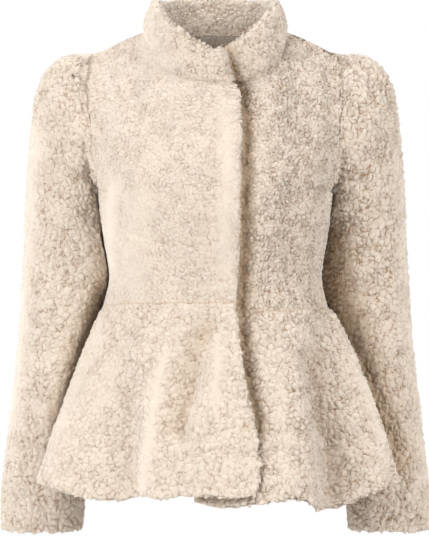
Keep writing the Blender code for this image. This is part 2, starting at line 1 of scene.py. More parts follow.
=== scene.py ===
"""Looks of a faux fur coat with a fluted peplum, filled out as if worn.

Each sewn piece is remade as a thin shell of curly pile over its solid. +Z is up, the front
faces -Y and +X is the wearer's left. Tables are in millimetres, and the model is in metres.
"""
import math
from collections import namedtuple
from functools import partial

import bmesh
import bpy
import numpy as np
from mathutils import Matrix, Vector


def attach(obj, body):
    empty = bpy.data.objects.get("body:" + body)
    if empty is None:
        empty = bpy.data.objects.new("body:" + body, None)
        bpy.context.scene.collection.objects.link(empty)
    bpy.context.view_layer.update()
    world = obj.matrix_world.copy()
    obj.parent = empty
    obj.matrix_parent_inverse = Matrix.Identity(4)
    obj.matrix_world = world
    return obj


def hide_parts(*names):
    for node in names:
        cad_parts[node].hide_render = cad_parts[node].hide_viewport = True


bl_info = {
    "name": "Faux fur coat",
    "version": (1, 0, 0),
    "blender": (4, 5, 0),
    "location": "View3D > Sidebar > Coat",
    "description": "Sewn pieces of a faux fur coat with a stand collar and a fluted peplum",
    "category": "Object",
}

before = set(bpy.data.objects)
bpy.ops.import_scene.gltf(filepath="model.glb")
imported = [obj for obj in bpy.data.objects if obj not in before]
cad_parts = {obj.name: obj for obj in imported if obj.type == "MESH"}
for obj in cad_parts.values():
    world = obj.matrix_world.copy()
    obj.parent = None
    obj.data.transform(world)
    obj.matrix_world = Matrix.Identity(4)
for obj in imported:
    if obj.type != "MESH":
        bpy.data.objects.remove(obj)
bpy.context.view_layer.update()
MM = 0.001

# Cut of the coat, in millimetres
CLOTH = 7.5             # backing and pile of the fur cloth
COLLAR_THICK = 16.0     # two layers of fur
COLLAR_OVERHANG = 3.0   # how far the collar stands outside the neck seam
PEPLUM_LENGTH = 249.0   # cut length of the peplum, from waist seam to hem
LAP_UNDER = 28.0        # how far the left front reaches under the right one
LAP_DROP = 9.5          # how far the left front lies behind the right one
LAP_DROP_NECK = 18.0    # the same at the neck, where the doubled collar passes
LAP_DROP_FROM = 0.84    # height on the bodice from which it grows towards the neck's
LAP_BLEND = (34.0, 84.0)  # x where the left front begins to come out, and where it is out
RIM_BLEND = (28.0, 70.0)  # the same at the collar's rim
NECK_SHARE = 0.5        # share of a bodice piece's width that its neck edge takes
UNDERARM = 0.40         # height of the underarm on a bodice piece, from 0 at the waist to 1

# Sections of the bodice from the waist up
Section = namedtuple(
    "Section", "name at half_width side_y side_z front_y front_z back_y back_z square")
SECTIONS = (
    Section("waist seam", 0.00, 149.5, -4, -360, -111, -358, 102, -355, 2.30),
    Section("waist", 0.09, 141.5, -3, -326, -109, -326, 97, -326, 2.25),
    Section("rib", 0.23, 148.5, 0, -272, -122, -272, 106, -272, 2.35),
    Section("bust", 0.33, 153.5, 3, -236, -131, -232, 115, -230, 2.45),
    Section("underarm", UNDERARM, 156.0, 5, -212, -132, -205, 119, -200, 2.50),
    Section("notch", 0.52, 161.0, 6, -182, -129, -180, 121, -165, 2.60),
    Section("chest", 0.64, 166.5, 7, -150, -121, -152, 119, -125, 2.75),
    Section("upper chest", 0.77, 171.0, 8, -112, -110, -122, 111, -80, 2.80),
    Section("yoke", 0.89, 171.5, 8, -68, -99, -96, 95, -35, 2.80),
    Section("shoulder", 1.00, 163.0, 8, -27, -88, -74, 74, 8, 2.60),
)
# Armhole: how far round from the centre, in degrees, the front and the back reach
Armhole = namedtuple("Armhole", "at front back")
ARMHOLE = (
    Armhole(UNDERARM, 90, 90), Armhole(0.415, 84, 84), Armhole(0.45, 78, 77.5),
    Armhole(0.52, 73.5, 72), Armhole(0.64, 71.5, 69), Armhole(0.77, 73.5, 70),
    Armhole(0.89, 80, 76), Armhole(1.00, 90, 90),
)
ARMHOLE_MIDDLE = (0.0, 7.0, -120.0)
ARMHOLE_LEAN = 0.24
UNDERARM_MITRE = 0.8
SHOULDER_FROM = 0.55    # height from which the sections rise to the neck and shoulder
SHOULDER_CURVE = 1.7
WAIST_STEP = {1: -6.0, -1: 5.0}
WAIST_STEP_REACH = 0.16
NECK_POINT = (94.0, 5.0, 6.0)
SHOULDER_TIP = (163.0, 8.0, -27.0)
SHOULDER_ARCH = 2.5
NECK_FRONT_Y = -88.0
NECK_BACK = (74.0, 8.0)
NECK_DROP = {1: (-76.0, 1.12), -1: (-71.0, 1.0)}
NECK_LEAN = (0.12, 0.45)
SHOULDER_LEAN = (0.42, 0.0, 0.91)

# Wearer's right front edge: x of the lap at heights up the bodice
LapEdge = namedtuple("LapEdge", "at x")
RIGHT_EDGE = (
    LapEdge(0.00, 27.0), LapEdge(0.20, 31.0), LapEdge(0.50, 33.0), LapEdge(0.86, 34.0),
    LapEdge(0.95, 32.0), LapEdge(1.00, 26.0),
)

# Rings of a sleeve below the armhole: outer and inner point, centre and half its depth
Ring = namedtuple("Ring", "name outer_x outer_z inner_x inner_z mid_y depth")
SLEEVE = (
    Ring("head start", 181, -23, 161.0, -219, 8, 59),
    Ring("head", 204, -27, 160.0, -227, 11, 63),
    Ring("head turn", 227, -45, 156.5, -235, 14, 64),
    Ring("head side", 240, -74, 153.0, -245, 18, 63),
    Ring("upper arm", 247, -120, 150.0, -262, 23, 62),
    Ring("bicep", 252, -170, 144.5, -285, 28, 61),
    Ring("above elbow", 256, -235, 140.5, -318, 32, 60),
    Ring("elbow", 259, -305, 146.0, -352, 34, 59),
    Ring("below elbow", 263, -372, 162.5, -398, 35, 58),
    Ring("forearm", 269, -440, 167.0, -452, 35, 57),
    Ring("low forearm", 277, -510, 169.5, -515, 34, 56),
    Ring("wrist", 285, -580, 173.0, -582, 33, 56),
    Ring("above cuff", 289, -635, 176.0, -636, 32, 56),
    Ring("cuff", 289, -660, 178.0, -660, 32, 55),
)
# Pleats let into a sleeve head: position round it from the top, width, depth and reach down
Pleat = namedtuple("Pleat", "name around width depth reach")
PLEATS = (
    Pleat("front pleat", 0.115, 0.030, 8.0, 0.14),
    Pleat("front tuck", 0.185, 0.026, 4.0, 0.10),
    Pleat("back pleat", 0.885, 0.030, 8.0, 0.14),
    Pleat("back tuck", 0.815, 0.026, 4.0, 0.10),
)
PLEAT_RISE = (0.0, 0.02)
PLEAT_FADE = 0.03

# Hem of the peplum under places on the waist seam: x, y, length added, and spring
Flute = namedtuple("Flute", "name at x y drop spring")
LEFT_FLUTES = (
    Flute("edge", 0.00, -27, -172, 0, 0.95),
    Flute("under lap", 0.10, 6, -176, 8, 0.95),
    Flute("lap side", 0.20, 36, -182, 9, 0.92),
    Flute("front crest", 0.30, 64, -187, 6, 0.90),
    Flute("crest side", 0.43, 100, -188, 5, 0.85),
    Flute("crest turn", 0.52, 124, -175, 11, 0.85),
    Flute("fold", 0.58, 132, -157, 15, 0.85),
    Flute("valley in", 0.64, 131, -138, 15, 0.90),
    Flute("valley", 0.70, 141, -122, 14, 0.90),
    Flute("lobe in", 0.77, 166, -112, 11, 0.85),
    Flute("lobe", 0.84, 200, -105, 5, 0.78),
    Flute("lobe side", 0.90, 228, -94, 4, 0.72),
    Flute("lobe tip", 0.935, 240, -77, 0, 0.72),
    Flute("tip back", 0.96, 235, -56, 0, 0.76),
    Flute("return", 0.978, 211, -33, 0, 0.85),
    Flute("arm side", 0.99, 187, -12, 0, 0.95),
    Flute("side", 1.00, 170, 16, 0, 1.00),
)
RIGHT_FLUTES = (
    Flute("edge", 0.00, -54, -190, 6, 0.90),
    Flute("edge crest", 0.12, -27, -194, 11, 0.90),
    Flute("flat", 0.26, 8, -191, 12, 0.90),
    Flute("dent", 0.38, 42, -186, 10, 0.95),
    Flute("fold in", 0.47, 70, -181, 13, 0.90),
    Flute("fold", 0.52, 87, -172, 9, 0.90),
    Flute("valley", 0.575, 97, -151, 6, 0.95),
    Flute("lobe in", 0.65, 124, -141, 10, 0.92),
    Flute("lobe", 0.74, 165, -130, 10, 0.88),
    Flute("lobe side", 0.83, 200, -113, 8, 0.86),
    Flute("lobe out", 0.90, 225, -93, 3, 0.86),
    Flute("lobe tip", 0.935, 234, -75, 0, 0.86),
    Flute("tip back", 0.96, 229, -55, 0, 0.88),
    Flute("return", 0.978, 207, -33, 0, 0.90),
    Flute("arm side", 0.99, 185, -12, 0, 0.95),
    Flute("side", 1.00, 170, 16, 0, 1.00),
)
BACK_FLUTES = (
    Flute("centre valley", 0.00, 0, 176, 4, 0.95),
    Flute("inner crest", 0.20, 50, 199, 6, 0.90),
    Flute("inner side", 0.33, 90, 191, 5, 0.90),
    Flute("valley", 0.47, 114, 164, 4, 0.95),
    Flute("outer rise", 0.60, 146, 165, 4, 0.90),
    Flute("outer crest", 0.74, 181, 158, 2, 0.89),
    Flute("crest side", 0.84, 197, 137, 0, 0.90),
    Flute("return", 0.92, 190, 103, 0, 0.93),
    Flute("arm side", 0.97, 177, 62, 0, 0.97),
    Flute("side", 1.00, 170, 16, 0, 1.00),
)
# The lap edge of the peplum's right front bows out and its hem corner is rounded
EdgeBow = namedtuple("EdgeBow", "at out")
EDGE_BOW = (
    EdgeBow(0.00, 0.0), EdgeBow(0.20, -2.0), EdgeBow(0.35, -1.0), EdgeBow(0.50, 2.5),
    EdgeBow(0.66, 7.0), EdgeBow(0.80, 7.8), EdgeBow(0.91, 5.5), EdgeBow(1.00, -3.0),
)
EDGE_BOW_WIDTH = 0.24

# Rim of the collar, and the places on it above places on the neck seam, in degrees
RIM_X = 75.0
RIM_FRONT_Y = -83.0
RIM_BACK_Y = 73.0
RIM_V_Z = -23.0
RIM_SIDE_Z = 49.0
RIM_BACK_Z = 59.0
RIM_V_SHAPE = 0.6
Ruling = namedtuple("Ruling", "seam rim")
RULINGS = (
    Ruling(-30, -12), Ruling(-16, -7), Ruling(0, 2), Ruling(40, 24), Ruling(78, 62),
    Ruling(100, 88), Ruling(140, 133), Ruling(180, 180),
)
COLLAR_BELLY = 2.5
COLLAR_SWELL = 1.5      # how much thicker the doubled cloth is halfway up the band

# Soft folds pressed into a piece along paths of x and z, seen from the front or the back:
# depth, how far they spread to the left and to the right of the path, and how far they part
# the pile and darken the hollow with the root colour, which is painted shade as well as
# parting; a fold that faces round is seen from all sides
Fold = namedtuple(
    "Fold", "name path depth left right parts face", defaults=(0.0, "front"))
SLANT = ((-6, -362), (-14, -398), (-24, -430), (-33, -460), (-42, -500), (-52, -540))
FOLDS = {
    "peplum_front_right": (
        # the second valley slants in from under the waist and fades out
        Fold("slant valley", SLANT, 15.0, 21.0, 9.0, 0.22),
        Fold("lap band", ((9, -400), (2, -440), (-4, -480)), -3.0, 10.0, 12.0),
        Fold("hem dent", ((34, -505), (40, -545), (44, -585)), 3.0, 12.0, 10.0),
    ),
    "peplum_front_left": (
        # pressed in with the lap over it, and hollow beside it
        Fold("slant valley", SLANT, 16.0, 24.0, 12.0),
        Fold("lap hollow", ((35, -290), (33, -363), (37, -430), (45, -470), (52, -505),
             (57, -540)), 9.0, 10.0, 11.0, 0.75),
        Fold("outer valley", ((112, -398), (122, -430), (132, -470), (144, -520), (152, -580),
             (155, -620)), 14.0, 10.0, 18.0, 0.15),
    ),
    "bodice_front_right": (
        # doubled facing along the lap edge, and drags from neck and bust
        Fold("facing step", ((-5, -165), (-3, -215), (-4, -270), (-2, -325)), 2.2, 9.0, 4.0),
        Fold("chest drag", ((-62, -88), (-52, -118), (-42, -150), (-12, -205)), 3.0, 16.0, 11.0),
        Fold("yoke hollow", ((-132, -60), (-126, -90), (-118, -115)), 2.5, 18.0, 18.0),
    ),
    "bodice_front_left": (
        # the pull from the armhole to the waist, and the hollow beside the lap
        Fold("facing step", ((-5, -135), (-3, -215), (-4, -270), (-2, -355)), 3.2, 26.0, 8.0),
        Fold("armhole drag", ((120, -176), (104, -208), (88, -240), (96, -290), (104, -330)),
             4.0, 14.0, 16.0),
        Fold("bust drag", ((66, -120), (60, -170), (46, -215)), 1.8, 14.0, 14.0),
        Fold("lap hollow", ((31, -428), (33, -363), (35, -290), (38, -190), (38, -110), (33, -86),
             (26, -62), (16, -30)), 9.0, 10.0, 11.0, 0.9),
    ),
    "collar": (
        Fold("collar hollow", ((2, 14), (10, -12), (18, -40), (26, -66), (33, -90), (40, -125)),
             11.0, 7.0, 11.0, 0.9),
    ),
    "sleeve_left": (
        # the head turns over along a crease, with drags at its pleats and the elbow
        Fold("head crease", ((146, -37), (168, -41), (194, -44), (218, -59), (230, -82),
             (238, -112)), 3.2, 5.0, 5.0),
        Fold("waist hollow", ((153, -232), (155, -290), (158, -331), (183, -407), (207, -477),
             (228, -547), (240, -600)), 10.5, 15.0, 25.0, 0.7),
        Fold("underarm swell", ((162, -180), (160, -222), (150, -262), (143, -300)),
             -4.5, 11.0, 11.0, face="round"),
        Fold("head drag", ((206, -120), (190, -96), (176, -66)), 2.5, 12.0, 10.0),
        Fold("elbow fold", ((164, -330), (190, -338), (220, -330)), 2.5, 11.0, 11.0),
        Fold("back elbow fold", ((168, -312), (198, -326), (230, -322)),
             3.0, 12.0, 12.0, face="back"),
    ),
    "sleeve_right": (
        # the same, and it stands off the waist differently
        Fold("head crease", ((-238, -104), (-228, -76), (-204, -57), (-180, -50), (-165, -48),
             (-144, -46)), 3.2, 5.0, 5.0),
        Fold("waist fullness", ((-162, -248), (-158, -290), (-159, -350)), -15.0, 20.0, 16.0),
        Fold("forearm fullness", ((-168, -320), (-191, -407), (-210, -477), (-224, -540)),
             -13.0, 19.0, 13.0),
        # painted shade only: this stroke presses nothing in, it darkens the sleeve beside the
        # waist
        Fold("waist shade", ((-146, -250), (-146, -300), (-150, -340), (-176, -407), (-198, -477),
             (-214, -540)), 0.0, 20.0, 12.0, 0.35),
        Fold("underarm swell", ((-162, -180), (-160, -222), (-150, -262), (-143, -300)),
             -4.5, 11.0, 11.0, face="round"),
        Fold("head drag", ((-212, -134), (-190, -104), (-170, -70)), 3.0, 10.0, 13.0),
        Fold("elbow fold", ((-160, -300), (-185, -318), (-214, -322)), 2.5, 11.0, 11.0),
        Fold("back elbow fold", ((-164, -320), (-196, -330), (-226, -318)),
             3.0, 12.0, 12.0, face="back"),
    ),
    "bodice_back": (
        # drags from the shoulder blades to the waist
        Fold("back drag left", ((118, -150), (92, -200), (70, -250), (60, -310)),
             3.5, 14.0, 18.0, face="back"),
        Fold("back drag right", ((-112, -140), (-90, -196), (-76, -246), (-58, -316)),
             3.0, 18.0, 14.0, face="back"),
        Fold("back waist pull", ((20, -300), (-16, -312), (-52, -304)),
             2.0, 9.0, 9.0, face="back"),
        Fold("blade hollow", ((4, -60), (0, -120), (-6, -180)), 2.0, 22.0, 20.0, face="back"),
    ),
}
FOLD_FADE = 30.0        # length over which a fold or a stroke runs out at its ends
FACES_FROM = (-0.05, 0.25)      # how squarely cloth faces the side where folds begin
NAP_END = 0.3           # share of its strength that a stroke keeps at its ends
# Strokes where the pile lies smooth along fold crests and edges, painted paler there
# as sheen
Nap = namedtuple("Nap", "name path width strength")
NAPS = {
    "front": (
        Nap("right lobe edge", ((-141, -370), (-160, -410), (-180, -455), (-205, -520),
            (-214, -560)), 13.0, 0.6),
        Nap("right lobe", ((-128, -400), (-140, -450), (-160, -510)), 14.0, 0.45),
        Nap("front crest", ((-62, -396), (-68, -430), (-78, -480), (-88, -540), (-93, -600)),
            8.0, 0.8),
        Nap("lap band", ((8, -395), (2, -440), (-3, -490)), 9.0, 0.75),
        Nap("right waist side", ((-128, -180), (-134, -230), (-140, -280), (-138, -335)),
            12.0, 0.75),
        Nap("right waist", ((-96, -190), (-104, -260), (-108, -350)), 22.0, 0.55),
        Nap("collar side", ((-88, 60), (-84, 0), (-66, -34), (-40, -58)), 20.0, 0.75),
        Nap("placket", ((13, -90), (14, -180), (13, -260), (12, -340)), 11.0, 0.65),
        Nap("left crest", ((72, -390), (80, -440), (88, -520), (92, -590)), 10.0, 0.5),
        Nap("left lobe edge", ((160, -380), (184, -430), (204, -490), (222, -550), (226, -580)),
            10.0, 0.7),
        Nap("left bodice", ((56, -110), (52, -170), (58, -230)), 14.0, 0.35),
        Nap("right sleeve", ((-232, -110), (-246, -200), (-252, -300), (-262, -420), (-276, -540)),
            13.0, 0.8),
        Nap("left sleeve", ((240, -150), (248, -260), (256, -380), (270, -500), (280, -610)),
            9.0, 0.6),
    ),
    "back": (
        Nap("back crest left", ((46, -400), (52, -480), (56, -580)), 10.0, 0.7),
        Nap("back crest right", ((-44, -400), (-50, -490), (-52, -590)), 10.0, 0.8),
        Nap("back outer left", ((130, -390), (160, -460), (180, -560)), 11.0, 0.7),
        Nap("back outer right", ((-128, -390), (-158, -470), (-182, -570)), 11.0, 0.6),
        Nap("back sleeve left", ((244, -150), (254, -330), (276, -560)), 11.0, 0.6),
        Nap("back sleeve right", ((-244, -150), (-254, -350), (-278, -580)), 11.0, 0.7),
    ),
}

# Edges of a piece
FREE_ROUND = 5.0        # how far in from a free edge the pile rounds off
SEWN_ROUND = 3.2        # the same at a seam
LEAN_REACH = 9.0        # how far in from a seam its join turns the wall
FOLD_RISE = 16.0        # how far in from a seam a fold has its full depth
SEAM_DIP = 0.3          # how far the pile is let in at a seam
ARMHOLE_FILL = (-4.2, 15.0)     # the same at an armhole, where it fills the valley, and reach
ARMHOLE_FILL_FROM = (UNDERARM - 0.02, UNDERARM + 0.16)  # heights where it begins and is full
COLLAR_DIP = (3.0, 11.0)    # how far the collar's foot is let in, and how far up it
SEAM_FLAT = 1.8         # how far in from a seam the pile has its full relief
SEAM_SHOWS = (0.4, 2.4)     # how far the pile parts at a waist or armhole seam, and how far in
EDGE_TUFTS = 0.9        # how much deeper the relief is at a free edge
SLEEVE_CLEAR = 2.2      # how far a sleeve stays from the body
SLEEVE_CLEAR_FROM = (240.0, 268.0)  # depths below the neck between which it begins to
LAP_HOLD = (8.0, 22.0)  # x where the left front's relief begins and is full, clear of the lap
SEAM_GAP = 0.1          # left open between two sewn pieces
EDGE_STEPS = (0.0, 0.12, 0.5, 1.1, 1.9, 2.9)    # points close to an edge, in millimetres
FACING_DEPTH = (48.0, 58.0)     # where the fur facing inside the back neck ends
FACING_FADE = (4.0, 40.0)       # the same for the wall, thicker towards the collar's foot
FACING_FROM = 0.8       # share of the neck's half width where the facing begins to end
NECK_CORNER = 0.02      # how far round the neck's seam turns into the shoulder's
TURN_FROM = 0.5         # how far in from a free edge the pile begins to turn over it
THIN_EDGE = 0.05        # share of its thickness that a free edge keeps
STEP = 1.75             # greatest spacing of the points of a piece, in millimetres
SLEEVE_STEP = 2.1
BACK_STEP = 2.4
COLLAR_STEPS = 120      # on each of the four quarters of the neck seam
GRID_EDGE = 0.99999     # how far out a point of the unit grid is on its edge
MERGE = 1e-6            # metres between points that are one

CAMERA_AT = (-0.0013, -3.2, -0.3086)
CAMERA_LENS = 161.6


# Shapes of the cloth

def hermite(stations, values, places):
    """A smooth curve through values at their stations, read at the places."""
    stations = np.asarray(stations, dtype=float)
    values = np.asarray(values, dtype=float)
    flat = values.reshape(len(stations), -1)
    step = np.diff(stations)[:, None]
    slope = np.diff(flat, axis=0) / step
    tangent = np.empty_like(flat)
    tangent[0], tangent[-1] = slope[0], slope[-1]
    tangent[1:-1] = (slope[:-1] * step[1:] + slope[1:] * step[:-1]) / (step[:-1] + step[1:])
    places = np.clip(np.asarray(places, dtype=float), stations[0], stations[-1])
    cell = np.clip(np.searchsorted(stations, places, side="right") - 1, 0, len(step) - 1)
    width = step[cell]
    t = (places - stations[cell])[:, None] / width
    result = (
        flat[cell] * (1 + 2 * t) * (1 - t) ** 2
        + flat[cell + 1] * t * t * (3 - 2 * t)
        + tangent[cell] * width * t * (1 - t) ** 2
        - tangent[cell + 1] * width * t * t * (1 - t)
    )
    return result.reshape((len(places),) + values.shape[1:])


def column(rows, field):
    """One named column of a table."""
    return np.array([getattr(row, field) for row in rows], dtype=float)


def unit(vectors):
    """The vectors at length 1."""
    return vectors / np.maximum(np.linalg.norm(vectors, axis=-1, keepdims=True), 1e-12)


def smooth_step(low, high, value):
    """0 below low, 1 above high, and a soft rise between them."""
    t = np.clip((value - low) / (high - low), 0.0, 1.0)
    return t * t * (3 - 2 * t)


def read(table, field, places):
    """A column of a table, read at places between its rows."""
    return hermite(column(table, "at"), column(table, field), places)


def armhole_turn(face, up):
    """How far round, in radians, a piece reaches: to the side seam, then to the armhole."""
    turn = read(ARMHOLE, face, np.maximum(up, UNDERARM))
    return np.radians(np.where(up <= UNDERARM, 90.0, turn))


def torso(face, up, angle):
    """Points of the left half of the body at heights and angles round from the centre."""
    width, side_y, side_z, mid_y, mid_z, square = (
        read(SECTIONS, field, up).reshape((-1,) + (1,) * (angle.ndim - 1))
        for field in ("half_width", "side_y", "side_z", face + "_y", face + "_z", "square"))
    sine, cosine = np.sin(angle), np.clip(np.cos(angle), 0, 1)
    x = width * np.sign(sine) * np.abs(sine) ** (2 / square)
    y = side_y + (mid_y - side_y) * cosine ** (2 / square)
    z = side_z + (mid_z - side_z) * cosine
    return np.stack([x, y, z], -1)


def edge_line(face, up):
    """Side seam and armhole edge of the left side."""
    return torso(face, up, armhole_turn(face, up))


def neck_angle(lap_x, around):
    """Angle round the neck, from the centre, of the places on a piece's neck edge."""
    start = math.asin(lap_x / NECK_POINT[0])
    return start + (math.pi / 2 - start) * around / NECK_SHARE


def neck_front(side, angle):
    """Neck seam at angles from the centre front, on the left side."""
    drop, late = NECK_DROP[side]
    rise = (1 - np.cos(angle)) ** late
    x = NECK_POINT[0] * np.sin(angle)
    y = NECK_POINT[1] + (NECK_FRONT_Y - NECK_POINT[1]) * np.cos(angle)
    return np.stack([x, y, drop + (NECK_POINT[2] - drop) * rise], 1)


def neck_back(angle):
    """Neck seam at angles from the centre back, on the left side."""
    y, z = NECK_BACK
    rise = 1 - np.cos(angle)
    x = NECK_POINT[0] * np.sin(angle)
    return np.stack([
        x, NECK_POINT[1] + (y - NECK_POINT[1]) * np.cos(angle), z + (NECK_POINT[2] - z) * rise,
    ], 1)


def shoulder_line(places):
    """Shoulder seam of the left side, from the neck point to the tip."""
    start, end = np.array(NECK_POINT), np.array(SHOULDER_TIP)
    points = start + (end - start) * places[:, None]
    points[:, 2] += SHOULDER_ARCH * np.sin(places * math.pi)
    return points


def top_row(face, side, lap_x, around):
    """Neck edge and shoulder edge of a bodice piece."""
    on_neck = around <= NECK_SHARE + 1e-9
    angle = neck_angle(lap_x, np.minimum(around, NECK_SHARE))
    neck = neck_front(side, angle) if face == "front" else neck_back(angle)
    along = np.clip((around - NECK_SHARE) / (1 - NECK_SHARE), 0, 1)
    return np.where(on_neck[:, None], neck, shoulder_line(along))


def lap_edges(side, up):
    """Where a front's edge is, as x on its own side: past the centre it is negative."""
    if side > 0:
        return np.full(len(up), -LAP_UNDER)
    return -read(RIGHT_EDGE, "x", up)


def lap_drop(side, points, places):
    """The left front's points, moved in behind the right front where it is lapped."""
    if side < 0:
        return points
    depth = LAP_DROP + (LAP_DROP_NECK - LAP_DROP) * smooth_step(LAP_DROP_FROM, 1.0, places)
    points = points.copy()
    points[..., 1] += depth[:, None] * (1 - smooth_step(*LAP_BLEND, points[..., 0]))
    return points


def bodice(face, side, around, up):
    """Outer surface of half a bodice: rows up from the waist, columns round from the centre."""
    lap_x = lap_edges(side, up) if face == "front" else np.zeros(len(up))
    share = np.abs(lap_x) / read(SECTIONS, "half_width", up)
    start = -np.arcsin(share ** (read(SECTIONS, "square", up) / 2))
    end = armhole_turn(face, up)
    angle = start[:, None] + (end - start)[:, None] * around
    points = torso(face, up, angle)
    if up[-1] == 1.0:
        top = top_row(face, side, lap_x[-1], around)
        rise = np.clip((up - SHOULDER_FROM) / (1 - SHOULDER_FROM), 0, 1) ** SHOULDER_CURVE
        full = torso(face, np.ones(1), (start[-1] + (end[-1] - start[-1]) * around)[None])[0]
        points += (top - full) * rise[:, None, None]
    if face == "front":
        step = WAIST_STEP[side] * (1 - smooth_step(0.0, WAIST_STEP_REACH, up))
        points[..., 2] += step[:, None] * np.cos(angle)
        points = lap_drop(side, points, up)
    points[..., 0] *= side
    return points


def waist_lean(points, side):
    """Through-thickness direction along the waist seam: level and square to the seam."""
    run = np.gradient(points, axis=0)
    return unit(np.stack([run[:, 1], -run[:, 0], np.zeros(len(run))], 1)) * side


def armhole_lean(points, sleeve_share):
    """Through-thickness direction round an armhole, shared by bodice and sleeve."""
    radial = unit((points - ARMHOLE_MIDDLE) * (0.0, 1.0, 1.0))
    lean = unit(radial + ARMHOLE_LEAN * np.array([1.0, 0.0, 0.0]))
    return lean * (1 + UNDERARM_MITRE * sleeve_share[:, None] ** 3)


def underarm_share(places):
    """1 at the underarm and 0 at the shoulder tip."""
    return 1 - (places - UNDERARM) / (1 - UNDERARM)


def neck_lean(angle, back):
    """Through-thickness direction along the neck seam of the left side."""
    low, gain = NECK_LEAN
    up = (low + gain * np.sin(angle) ** 2)[:, None]
    forward = np.cos(angle) * (1 if back else -1)
    level = np.stack([np.sin(angle), forward, np.zeros(len(angle))], 1)
    return unit(level + up * np.array([0.0, 0.0, 1.0]))


def hem_point(flutes, side, around, waist):
    """Hem points below the waist points, each a cut length away down its slope."""
    plan = np.stack([read(flutes, "x", around) * side, read(flutes, "y", around)], 1)
    length = PEPLUM_LENGTH + read(flutes, "drop", around)
    out = np.linalg.norm(plan - waist[:, :2], axis=1)
    fall = np.sqrt(length ** 2 - out ** 2)
    return np.column_stack([plan, waist[:, 2] - fall])


def peplum(face, side, around, down):
    """Outer surface of half a peplum: rows down from the waist, columns from the centre."""
    waist = bodice(face, side, around, np.array([0.0]))[0]
    flutes = BACK_FLUTES
    if face == "front":
        flutes = LEFT_FLUTES if side > 0 else RIGHT_FLUTES
    hem = hem_point(flutes, side, around, waist)
    share = down[:, None]
    out = share ** read(flutes, "spring", around)
    points = np.empty((len(down), len(around), 3))
    points[..., :2] = waist[:, :2] + (hem - waist)[:, :2] * out[..., None]
    points[..., 2] = waist[:, 2] + (hem - waist)[:, 2] * share
    if face == "front" and side < 0:
        reach = np.clip(1 - around / EDGE_BOW_WIDTH, 0, 1) ** 2
        points[..., 0] += read(EDGE_BOW, "out", down)[:, None] * reach
    return points


def armhole_height(places):
    """Heights on the bodice of places round an armhole, from the shoulder tip at 0 and 1."""
    return UNDERARM + (1 - UNDERARM) * (1 + np.cos(2 * math.pi * places)) / 2


def armhole_ring(side, places):
    """The armhole as a ring, from 0 at the shoulder tip over the front back to 1."""
    fold = armhole_height(places)
    front = edge_line("front", fold)
    back = edge_line("back", fold)
    ring = np.where((places % 1 <= 0.5)[:, None], front, back)
    lean = armhole_lean(ring, underarm_share(fold))
    return ring * (side, 1, 1), lean * (side, 1, 1)


def sleeve(side, places, down):
    """Outer surface of a sleeve: rows down from the armhole, columns round it from the top."""
    ring, _ = armhole_ring(side, places)
    turn = 2 * math.pi * places
    keys = [ring * (side, 1, 1)]
    for row in SLEEVE:
        outer = np.array([row.outer_x, row.mid_y, row.outer_z])
        inner = np.array([row.inner_x, row.mid_y, row.inner_z])
        middle, reach = (outer + inner) / 2, (outer - inner) / 2
        front = np.array([0.0, -row.depth, 0.0])
        keys.append(middle + np.cos(turn)[:, None] * reach + np.sin(turn)[:, None] * front)
    keys = np.stack(keys)
    middles = keys[:, :-1].mean(axis=1)
    stations = np.append(0.0, np.cumsum(np.linalg.norm(np.diff(middles, axis=0), axis=1)))
    points = hermite(stations / stations[-1], keys, down)
    points[..., 0] *= side
    return points - pleat_depth(places % 1, down)[..., None] * tube_normals(points, side)


def pleat_depth(places, down):
    """How far the pleats draw the sleeve head in."""
    depth = np.zeros((len(down), len(places)))
    for pleat in PLEATS:
        across = np.exp(-((places - pleat.around) / pleat.width) ** 2)
        along = smooth_step(*PLEAT_RISE, down) * (1 - smooth_step(PLEAT_FADE, pleat.reach, down))
        depth += pleat.depth * along[:, None] * across
    return depth


def rim_point(angle):
    """Middle of the collar's rim at angles from the centre front, on the left side."""
    front = angle <= math.pi / 2
    share = np.where(front, (1 - np.cos(angle)) ** RIM_V_SHAPE, 1.0)
    back_share = smooth_step(math.pi / 2, math.pi, angle)
    z = RIM_V_Z + (RIM_SIDE_Z - RIM_V_Z) * share + (RIM_BACK_Z - RIM_SIDE_Z) * back_share
    y = np.where(front, RIM_FRONT_Y, RIM_BACK_Y) * np.abs(np.cos(angle))
    return np.stack([RIM_X * np.sin(angle), y, z], 1)


def collar_half(side, angle, seam, lean):
    """Base, rim and outward direction of the collar over stretches of neck seam."""
    rim_angle = np.radians(hermite(
        column(RULINGS, "seam"), column(RULINGS, "rim"), np.degrees(angle)))
    rim = rim_point(rim_angle)
    rim_out = np.stack([np.sin(rim_angle), -np.cos(rim_angle), np.zeros(len(angle))], 1)
    if side > 0:
        tucked = LAP_DROP_NECK * (1 - smooth_step(*RIM_BLEND, rim[:, 0]))
        rim[:, 1] += tucked * (angle < math.pi / 2)
    mirror = np.array([side, 1.0, 1.0])
    return seam, lean, rim * mirror, rim_out * mirror


def collar_lines(steps):
    """Seam, lean, rim and rim direction all round, from the right front edge to the left."""
    around = np.linspace(0, NECK_SHARE, steps + 1)
    parts = []
    for side in (-1, 1):
        mirror = np.array([side, 1.0, 1.0])
        lap_x = lap_edges(side, np.ones(1))[0]
        angle = neck_angle(lap_x, around)
        seam = lap_drop(side, neck_front(side, angle)[None], np.array([1.0]))[0] * mirror
        front = collar_half(side, angle, seam, neck_lean(angle, False) * mirror)
        back_angle = neck_angle(0.0, around)[::-1][1:]
        seam = neck_back(back_angle) * mirror
        back = collar_half(
            side, math.pi - back_angle, seam, neck_lean(back_angle, True) * mirror)
        parts.append([np.concatenate(pair) for pair in zip(front, back)])
    right, left = parts
    return [np.concatenate([r, l[::-1][1:]]) for r, l in zip(right, left)]


# Grids, walls and edges

